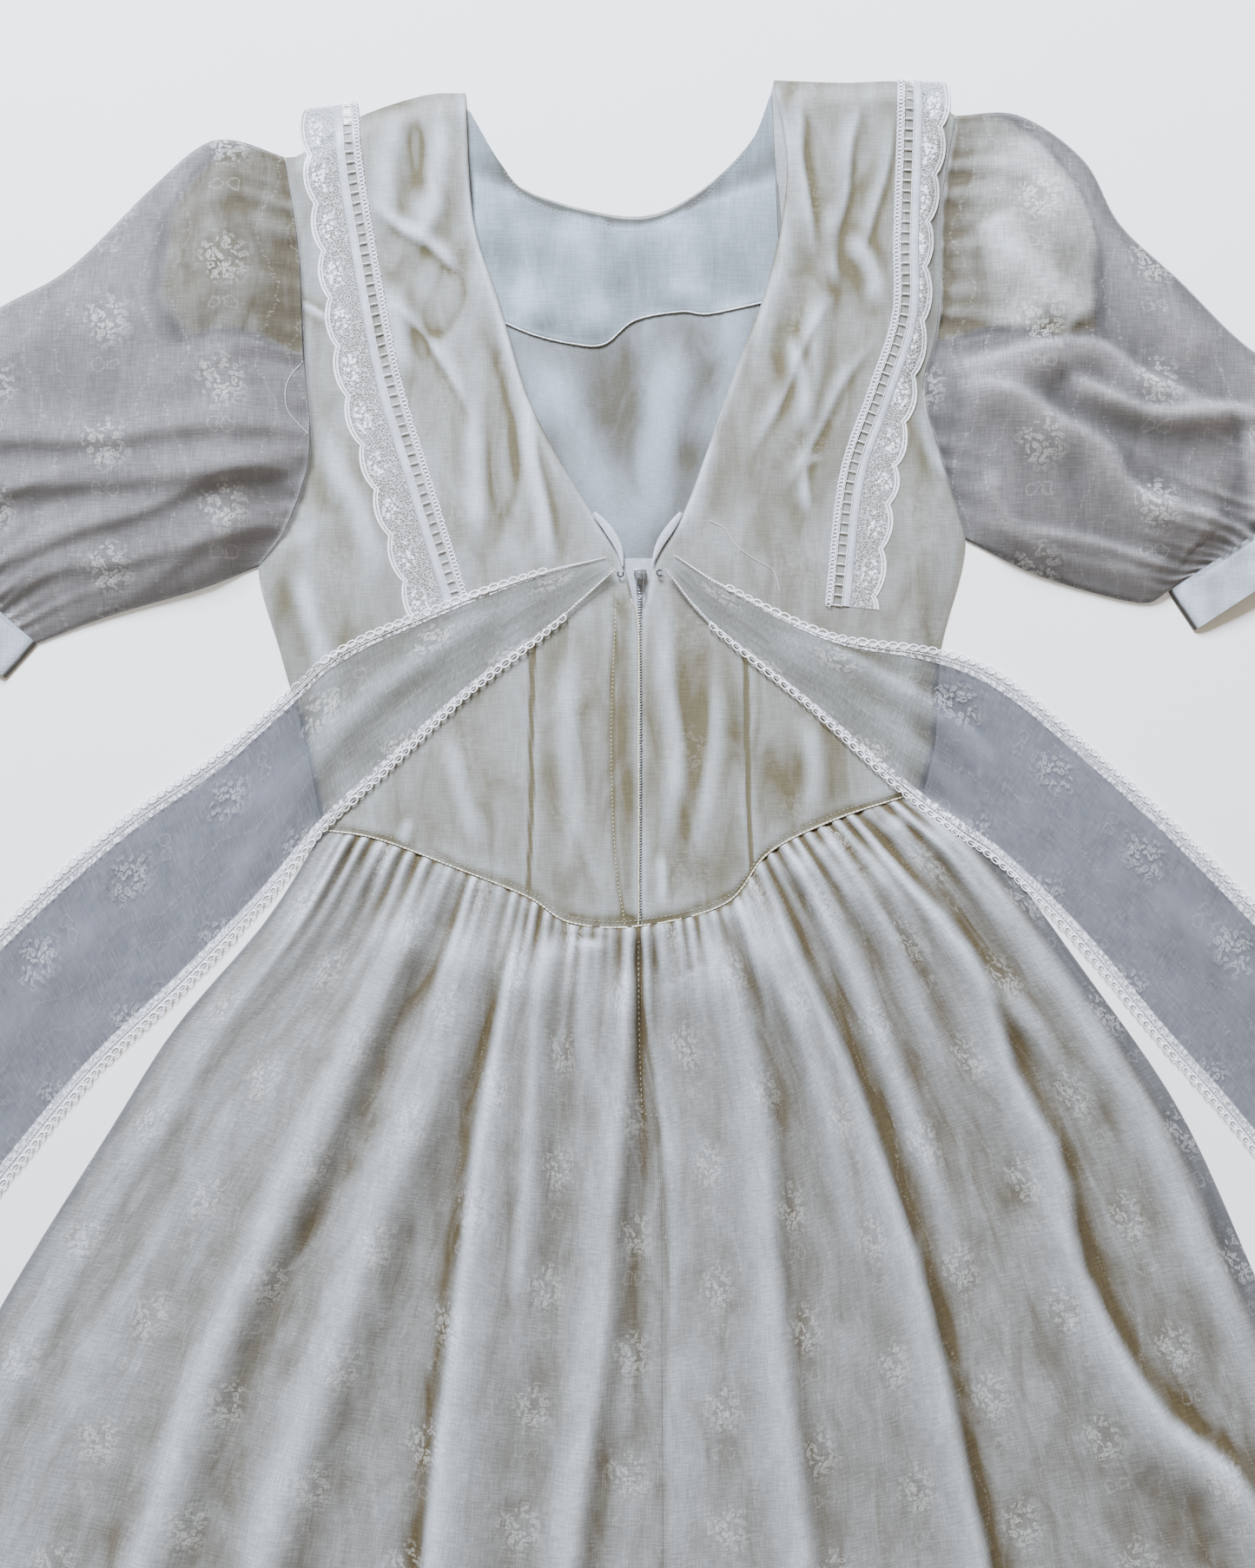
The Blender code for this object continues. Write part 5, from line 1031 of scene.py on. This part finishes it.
# Bright bleached cotton: the lace is see-through between its flowers, the tape and braid are close.
cotton_lace = net_lace("scalloped_cotton_lace", "EEF1F5", "5E636E", SCALLOP_PITCH)
cotton_tape = voile("white_cotton_tape", "C9CFD8", "74747C", printed=0.0, thread=0.7)
lace_thread = sewing_thread("white_lace_cotton", "F1F1F4")
whole_width = np.linspace(-0.5, TRIM_WIDTH, 12)
strip_arch = np.sin(np.pi * even(STRIP_POINTS - 1))[None, :]
for side, table in TRIMS.items():
    sign = -1 if side == "left" else 1
    length = length_of(smooth_line(table, even(80))[:, :2])
    rows = even(int(length / 1.6))
    rest = settled(tops(beside(table, rows, np.broadcast_to(whole_width, (len(rows), 12)), sign)))
    for strip, (start, end) in STRIPS.items():
        offsets = np.linspace(start, end, STRIP_POINTS)
        plan = beside(table, rows, np.broadcast_to(offsets, (len(rows), STRIP_POINTS)), sign)
        heights = np.array([np.interp(offsets, whole_width, row) for row in rest])
        # Each strip is painted lighter along its raised middle: a painted highlight.
        piece = lay(f"beading_{strip}_{side}", plan, heights + STRIP_BULGE * strip_arch, cotton_tape,
                    weave=cloth_map(rows[:, None] * length, offsets, plan.shape[:2]),
                    marks={"fold": 0.5 + 0.3 * strip_arch})
        dressed(piece, [f"beading_{side}"])

    def trim_path(offset, lift):
        """A path along the trim, on its cloth."""
        plan = beside(table, even(240), np.full((241, 1), offset), sign)
        return np.dstack([plan, tops(plan) + lift])[:, 0]

    row_of(f"ladder_rungs_{side}", trim_path(BRAID_WIDTH + LADDER_WIDTH / 2, 0.75), LADDER_PITCH,
           (0.42, LADDER_WIDTH / 2 + 0.5, 0.35), lace_thread)
    braid_path = np.maximum(trim_path(BRAID_WIDTH * 0.45, 0.45), (-np.inf, -np.inf, 1.8))
    row_of(f"braid_loops_{side}", braid_path, 2.3, (1.15, 1.6, 0.8), lace_thread, True)
    for place, offset in (("inner", BRAID_WIDTH - 0.2), ("outer", BRAID_WIDTH + LADDER_WIDTH + 0.2)):
        row_of(f"ladder_cord_{place}_{side}", trim_path(offset, 0.35), 1.1, (0.65, 0.35, 0.35), lace_thread)

    rows = even(int(length / 1.2))
    reach = smooth_line(table, rows)[:, 2]
    wave = SCALLOP_DEPTH * np.abs(np.sin(np.pi * rows * length / SCALLOP_PITCH)) ** 0.7
    outer_edge = np.maximum(reach - SCALLOP_DEPTH + wave, LACE_START + 2.0)[:, None]
    offsets = LACE_START + np.linspace(0, 1, 18)[None, :] * (outer_edge - LACE_START)
    plan = beside(table, rows, offsets, sign)
    ground = tops(plan)
    lace = lay(f"shoulder_lace_{side}_cloth", plan, settled(ground), cotton_lace,
               weave=cloth_map(rows[:, None] * length, outer_edge - offsets, plan.shape[:2]),
               marks={"over": (ground > 2.0).astype(float)})
    dressed(lace, [f"shoulder_lace_{side}"])

# The sash ties: sheer floral voile, sewn in at the foot of the V and spread over the sides of the
# dress to the floor. Both long edges have a narrow lace with a chain of oval loops.
SASHES = {
    # x and y of the upper edge, then of the lower edge
    "left": [
        (-20, 217, -14, 209), (-60, 208, -48, 178), (-112, 190, -100, 136.9), (-172, 165, -152, 88),
        (-204.1, 139.5, -187.2, 54.9), (-246, 103, -222, 13), (-305, 62, -268, -36), (-362, 12, -318, -84),
        (-424, -52, -360, -134), (-504, -150, -420, -212), (-564, -252, -467, -292),
        (-600, -352, -498, -376), (-617, -436, -512, -448)],
    "right": [
        (22, 218, 16, 209), (52, 200, 42, 178), (112, 172, 100, 130), (178, 162, 152, 82),
        (214, 148, 188, 54), (254, 116, 214, 36), (310, 66, 258, -8), (362, 14, 306, -66),
        (424, -52, 356, -124), (504, -150, 416, -206), (564, -252, 464, -290), (600, -352, 496, -376),
        (617, -436, 512, -448)]}
SASH_FOLDS = {
    "left": [
        (2, 6, 8, [(-30, 210), (-90, 180), (-160, 135), (-210, 85), (-260, 40)]),
        (1.6, 5, 6, [(-120, 165), (-170, 118), (-215, 60), (-250, 8)]),
        (1.4, 9, 9, [(-300, 20), (-370, -50), (-440, -140)])],
    "right": [
        (3, 3.5, 9, [(24, 215), (60, 194), (100, 170), (150, 143), (190, 118), (220, 84)]),
        (1.6, 5, 6, [(60, 180), (120, 140), (175, 95), (205, 60)]),
        (1.4, 9, 9, [(290, 40), (360, -30), (430, -120)])]}
SASH_WIDTH, SASH_LACE = 105.0, 9.0
LACE_SHARE = SASH_LACE / SASH_WIDTH
SASH_STEPS, SASH_GAP, SASH_ROUNDS = 300, 0.7, 30
FLOOR_DROP, SASH_LOWEST = 0.3, 0.4
START_LIFT, START_REACH = 4.0, 0.02
SASH_LACE_LIFT, RIM_LIFT = 0.3, 0.4
SASH_PARTS = {
    # name's ending: where it starts and ends across the sash, columns, its rim, its outer column and the next
    "": (LACE_SHARE, 1 - LACE_SHARE, 28, 0.0, None, None),
    "_lace_upper": (0.0, LACE_SHARE, 6, 0.0, 0, 1),
    "_lace_lower": (1 - LACE_SHARE, 1.0, 6, 1.0, -1, -2)}
LOOP_PITCH = 6.0

# The sheer voile over the dress and the floor: bluish grey, with its print a little paler, and
# painted shade and highlight on its folds.
sash_voile = voile("sheer_sash_voile", "A0A5A5", "5C584C", ground="53555F", alpha=0.74, printed=0.26)
edging_lace = net_lace("narrow_edging_lace", "E4E6EC", "80828C", 6.0, 1.3)
run = even(SASH_STEPS)[:, None]
places = even(34)
for side, table in SASHES.items():
    edges = smooth_line(table, even(SASH_STEPS))
    upper, lower = edges[:, None, :2], edges[:, None, 2:]
    length = length_of((upper + lower)[:, 0] / 2)
    plan = upper + places[None, :, None] * (lower - upper)
    ground = tops(plan)
    lifted = draped(ground, SASH_GAP, SASH_ROUNDS)
    lifted = lifted + soft_step(run, 0.02, 0.1) * np.maximum(folds(plan, SASH_FOLDS[side], 0.2), 0)
    heights = np.where(ground > 0, lifted, np.maximum(lifted - FLOOR_DROP, SASH_LOWEST))
    heights = heights + 0.25 * (1 + ripple(plan, 35, 41)) + START_LIFT * np.exp(-run / START_REACH)
    over_cloth = soften((ground > 0.9).astype(float), 1)
    for ending, (start, end, columns, rim_at, outer_column, next_column) in SASH_PARTS.items():
        part = np.linspace(start, end, columns + 1)
        part_plan = upper + part[None, :, None] * (lower - upper)
        part_heights = np.array([np.interp(part, places, row) for row in heights])
        part_heights = part_heights + (SASH_LACE_LIFT if ending else 0.0)
        part_over = np.array([np.interp(part, places, row) for row in over_cloth])
        marks = {"over": part_over, "fold": fold_mark(part_heights, 30, 0.7)}
        from_rim = np.abs(part - rim_at) * SASH_WIDTH
        if ending:
            weave = cloth_map(run * length, from_rim, part_plan.shape[:2])
            finish, slot, width, area = edging_lace, "white_lace", 0.0100, 0.9 * 0.01 * length * MM
        else:
            weave = cloth_map(from_rim, run * length, part_plan.shape[:2])
            finish, slot, width, area = sash_voile, "sash_voile", 0.087, None
        piece = lay(f"sash_{side}{ending}_cloth", part_plan, part_heights, finish, weave=weave, marks=marks)
        dressed(piece, [f"sash_{side}{ending}"])
        if ending:
            rim_path = np.dstack([part_plan, part_heights + RIM_LIFT])
            loops_path = rim_path[12:, outer_column] * 0.75 + rim_path[12:, next_column] * 0.25
            row_of(f"sash_{side}{ending}_loops", loops_path, LOOP_PITCH, (2.7, 1.75, 1.2), lace_thread, True)
            row_of(f"sash_{side}{ending}_cord", rim_path[:, 3], 2.0, (1.1, 0.35, 0.3), lace_thread)

# The centre-back fastening: a metal coil zip on white tape, its slider with a ring pull, and a
# wire hook and eye above it. The tape is turned out at both sides of the foot of the V.
TEETH_PITCH = 1.6
TAPE_Z, TEETH_Z = 3.5, 4.25
SHIELD = [
    (-3.6, 4.2), (-3.8, 1), (-2.2, -2.4), (-1.9, -4.4), (1.9, -4.4), (2.2, -2.4), (3.8, 1), (3.6, 4.2),
    (1.2, 4.4), (-1.2, 4.4)]
PULL_HALF_WIDTH, PULL_WIRE, PULL_CORNERS = 2.3, 0.42, 0.75
TURNED_TAPE = {
    "left": [(-27, 243), (-20.5, 234), (-13, 222), (-9.5, 212)],
    "right": [(26, 243), (20, 233), (14, 224), (8.5, 213)]}


def brushed_metal(name, colour, roughness):
    """Zinc alloy with a worn nickel finish: bright edges, fine scratches and a soft cloudy tone."""
    made, tree = bare_material(name)
    place = add(tree, "ShaderNodeTexCoord")
    scratch_scale = add(tree, MAPPING, {"Vector": place.outputs["Object"], "Scale": (400, 2500, 400)})
    scratch = add(tree, NOISE, {"Vector": scratch_scale, "Scale": 1.0, "Detail": 3.0})
    worn = add(tree, MAP_RANGE, {"Value": scratch, "From Min": 0.35, "From Max": 0.65,
                                 "To Min": roughness - 0.08, "To Max": roughness + 0.12})
    tone = add(tree, MAP_RANGE, {"Value": scratch, "To Min": 0.75, "To Max": 1.15})
    toned = add(tree, MIX, {SHARE: 1.0, FIRST: linear(colour), SECOND: tone.outputs[0]}, data_type="RGBA",
                blend_type="MULTIPLY")
    bump = add(tree, BUMP, {"Height": scratch, "Strength": 0.2, "Distance": 0.0001})
    shader = add(tree, SURFACE, {"Base Color": toned.outputs[MIXED], "Metallic": 1.0, "Roughness": worn,
                                 "Normal": bump})
    add(tree, OUTPUT, (shader,))
    return made


def cad_corners(node):
    """The two far corners of a CAD node, in millimetres from the middle of the waist seam."""
    return [np.array(corner) / MM - (0, WAIST_PLACE, 0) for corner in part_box(node)]

# The zip is bright where it is rubbed. The hook and eye are dark steel wire that catches little light.
nickel = brushed_metal("worn_nickel_zinc_alloy", "A3A9B1", 0.32)
steel_wire = brushed_metal("blued_steel_wire", "4A4C52", 0.4)
for name in ("hook", "eye"):
    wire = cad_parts[name]
    for slot_index in range(max(1, len(wire.material_slots))):
        if wire.material_slots:
            wire.material_slots[slot_index].material = steel_wire
        else:
            wire.data.materials.append(steel_wire)

tape_low, tape_high = cad_corners("zip_tape")
across, down = even(10), even(90)
corners = [[(x, y) for x in (tape_low[0], tape_high[0])] for y in (tape_high[1], tape_low[1])]
plan = panel(smooth_line(corners[0], across), smooth_line(corners[1], across),
             smooth_line([corners[0][0], corners[1][0]], down),
             smooth_line([corners[0][1], corners[1][1]], down), across, down)
middle_ridge = 0.5 * np.exp(-0.5 * ((across - 0.5) / 0.12) ** 2)[None, :]
tape = lay("zip_tape_cloth", plan, TAPE_Z + middle_ridge, cotton_tape, marks={"fold": 0.5}, base=False)
dressed(tape, ["zip_tape"])
teeth_line = [(1.0, y, TEETH_Z) for y in np.linspace(tape_low[1] + 2, tape_high[1] - 14, 40)]
row_of("zip_teeth", teeth_line, TEETH_PITCH, (0.5, 1.7, 0.45), nickel)


def solid_from(name, bm, finish, body, nodes):
    """A hard piece from its mesh, on its body and in the place of its CAD node."""
    bmesh.ops.recalc_face_normals(bm, faces=bm.faces)
    mesh = bpy.data.meshes.new(name)
    bm.to_mesh(mesh)
    bm.free()
    mesh.materials.append(finish)
    mesh.shade_smooth()
    obj = in_scene(name, mesh)
    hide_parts(*nodes)
    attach(obj, body)
    return obj


def rounded_block(bm, outline, low, high, bevel):
    """A block with a given outline in plan, from low to high, and softened edges."""
    verts = [bm.verts.new((x * MM, (y + WAIST_PLACE) * MM, low * MM)) for x, y in outline]
    face = bm.faces.new(verts)
    made = bmesh.ops.extrude_face_region(bm, geom=[face])
    raised = [item for item in made["geom"] if isinstance(item, bmesh.types.BMVert)]
    bmesh.ops.translate(bm, verts=raised, vec=(0, 0, (high - low) * MM))
    parts = set(verts) | set(raised)
    edges = [e for e in bm.edges if e.verts[0] in parts and e.verts[1] in parts]
    bmesh.ops.bevel(bm, geom=edges, offset=bevel * MM, segments=2, affect="EDGES", profile=0.6)


def oblong(half_width, low, high):
    """The corners of an oblong on the slider's middle line."""
    return [(-half_width, high), (-half_width, low), (half_width, low), (half_width, high)]


SLIDER_BLOCKS = [
    # outline from the slider's middle, from z, to z, softened edge
    (SHIELD, 4.5, 5.4, 0.25),
    (SHIELD, 6.2, 7.2, 0.25),
    (oblong(0.8, 1.6, 3.6), 5.2, 6.4, 0.1),
    (oblong(0.9, 1.3, 2.5), 7.0, 9.6, 0.2),
    (oblong(0.9, -2.5, -1.3), 7.0, 9.6, 0.2),
    (oblong(0.9, -2.5, 2.5), 8.95, 9.65, 0.2)]
slider_low, slider_high = cad_corners("zip_slider")
cx, cy = (slider_low[0] + slider_high[0]) / 2, (slider_low[1] + slider_high[1]) / 2
bm = bmesh.new()
for outline, low, high, bevel in SLIDER_BLOCKS:
    rounded_block(bm, [(cx + x, cy + y) for x, y in outline], low, high, bevel)
solid_from("zip_slider_body", bm, nickel, "dress", ["zip_slider"])

pull_low, pull_high = cad_corners("zip_pull")
px, py, pz = (pull_low + pull_high) / 2
bm = bmesh.new()
ring_steps, wire_steps = 40, 8
half_w, half_l = PULL_HALF_WIDTH - PULL_WIRE, (pull_high[1] - pull_low[1]) / 2 - PULL_WIRE
rings = []
for k in range(ring_steps):
    angle = 2 * math.pi * k / ring_steps
    x = half_w * math.copysign(abs(math.cos(angle)) ** PULL_CORNERS, math.cos(angle))
    y = half_l * math.copysign(abs(math.sin(angle)) ** PULL_CORNERS, math.sin(angle))
    normal = Vector((math.cos(angle) / half_w, math.sin(angle) / half_l, 0)).normalized()
    ring = []
    for j in range(wire_steps):
        turn = 2 * math.pi * j / wire_steps
        point = Vector((px + x, py + y, pz))
        point += normal * PULL_WIRE * math.cos(turn) + Vector((0, 0, PULL_WIRE * math.sin(turn)))
        ring.append(bm.verts.new((point.x * MM, (point.y + WAIST_PLACE) * MM, point.z * MM)))
    rings.append(ring)
for k in range(ring_steps):
    for j in range(wire_steps):
        a, b = rings[k], rings[(k + 1) % ring_steps]
        bm.faces.new((a[j], a[(j + 1) % wire_steps], b[(j + 1) % wire_steps], b[j]))
solid_from("zip_ring_pull", bm, nickel, "zip_pull", ["zip_pull"])

rows, width_arch = even(24), np.sin(np.pi * even(7))[None, :]
taper = np.sin(np.pi * (0.15 + 0.8 * rows))[:, None]
for side, line in TURNED_TAPE.items():
    sign = 1 if side == "left" else -1
    plan = beside(line, rows, np.broadcast_to(np.linspace(-0.4, 4.6, 8), (25, 8)) * taper, sign)
    heights = np.maximum(tops(plan), 5.2) + 0.35 + 0.5 * width_arch
    # The turned tape is painted lighter all over: a painted highlight on its raised edge.
    turned = lay(f"turned_tape_{side}", plan, soften(heights, 1) + 0.15, cotton_tape, marks={"fold": 0.75},
                 base=False)
    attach(turned, "dress")

# Loose ends of sewing thread, on the left armhole and beside the foot of the V.
LOOSE_THREADS = {
    "armhole": [(-196, 334), (-203, 326), (-207, 316), (-206, 304), (-200, 296), (-194, 290)],
    "neck": [
        (42, 239), (46, 237), (51, 234), (57, 225), (63, 220), (69, 216), (78, 211), (81, 206), (83, 198)]}
THREAD_RADIUS, THREAD_LIFT = 0.13, 0.35
for place, line in LOOSE_THREADS.items():
    path = (path_on(line, THREAD_LIFT, 60) + (0, WAIST_PLACE, 0)) * MM
    curve = bpy.data.curves.new(f"loose_thread_{place}", "CURVE")
    curve.dimensions = "3D"
    curve.bevel_depth = THREAD_RADIUS * MM
    curve.bevel_resolution = 1
    spline = curve.splines.new("POLY")
    spline.points.add(len(path) - 1)
    for point, spot in zip(spline.points, path):
        point.co = (*spot, 1)
    guide = in_scene("thread_guide", curve)
    mesh = bpy.data.meshes.new_from_object(guide.evaluated_get(bpy.context.evaluated_depsgraph_get()))
    bpy.data.objects.remove(guide)
    mesh.materials.clear()
    mesh.materials.append(lace_thread)
    thread = in_scene(f"loose_thread_{place}", mesh)
    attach(thread, "dress")

# The studio: a plain pale floor, soft light from above the neck, and the camera straight above.
FLOOR_SIZE = 6.0
CAMERA_HEIGHT = 1.2
SEEN_HEIGHT = 0.926
AIM = (-0.0064, 0.2295)
FLOOR_Z = -0.0002
DAYLIGHT, DAYLIGHT_STRENGTH = "EADCC4", 0.54
LAMPS = [
    # name, place, size, energy, colour
    ("window", (-0.8, 3.0, 1.7), 1.2, 560.0, "E4EEFF"),
    ("fill", (1.6, -0.6, 1.8), 2.0, 6.0, "FFEBD0")]
floor_mesh = bpy.data.meshes.new("floor")
bm = bmesh.new()
bmesh.ops.create_grid(bm, x_segments=1, y_segments=1, size=FLOOR_SIZE / 2)
bmesh.ops.translate(bm, verts=bm.verts, vec=(0, 0, FLOOR_Z))
bm.to_mesh(floor_mesh)
bm.free()
floor = in_scene("floor", floor_mesh)
# White paper with a grain too fine to see, which keeps the floor from looking flat.
paper, tree = bare_material("pale_studio_paper")
grain = add(tree, NOISE, {"Scale": 60.0})
tint = add(tree, MIX, {SHARE: grain, FIRST: linear("FBFBFA"), SECOND: linear("FFFFFF")}, data_type="RGBA")
matt = add(tree, SURFACE, {"Base Color": tint.outputs[MIXED], "Roughness": 0.9})
add(tree, OUTPUT, (matt,))
floor_mesh.materials.append(paper)

world = bpy.data.worlds.new("studio")
bpy.context.scene.world = world
world.use_nodes = True
sky = world.node_tree.nodes["Background"]
sky.inputs["Color"].default_value = linear(DAYLIGHT)
sky.inputs["Strength"].default_value = DAYLIGHT_STRENGTH
for name, place, size, energy, colour in LAMPS:
    light = bpy.data.lights.new(name, "AREA")
    light.size = size
    light.energy = energy
    light.color = linear(colour)[:3]
    lamp = in_scene(name, light)
    lamp.location = place
    lamp.rotation_mode = "QUATERNION"
    lamp.rotation_quaternion = (Vector((*AIM, 0)) - Vector(place)).to_track_quat("-Z", "Y")

camera_data = bpy.data.cameras.new("camera")
camera = in_scene("camera", camera_data)
camera_data.sensor_width = 36.0
camera_data.lens = camera_data.sensor_width * CAMERA_HEIGHT / SEEN_HEIGHT
camera.location = (*AIM, CAMERA_HEIGHT)
bpy.context.scene.camera = camera
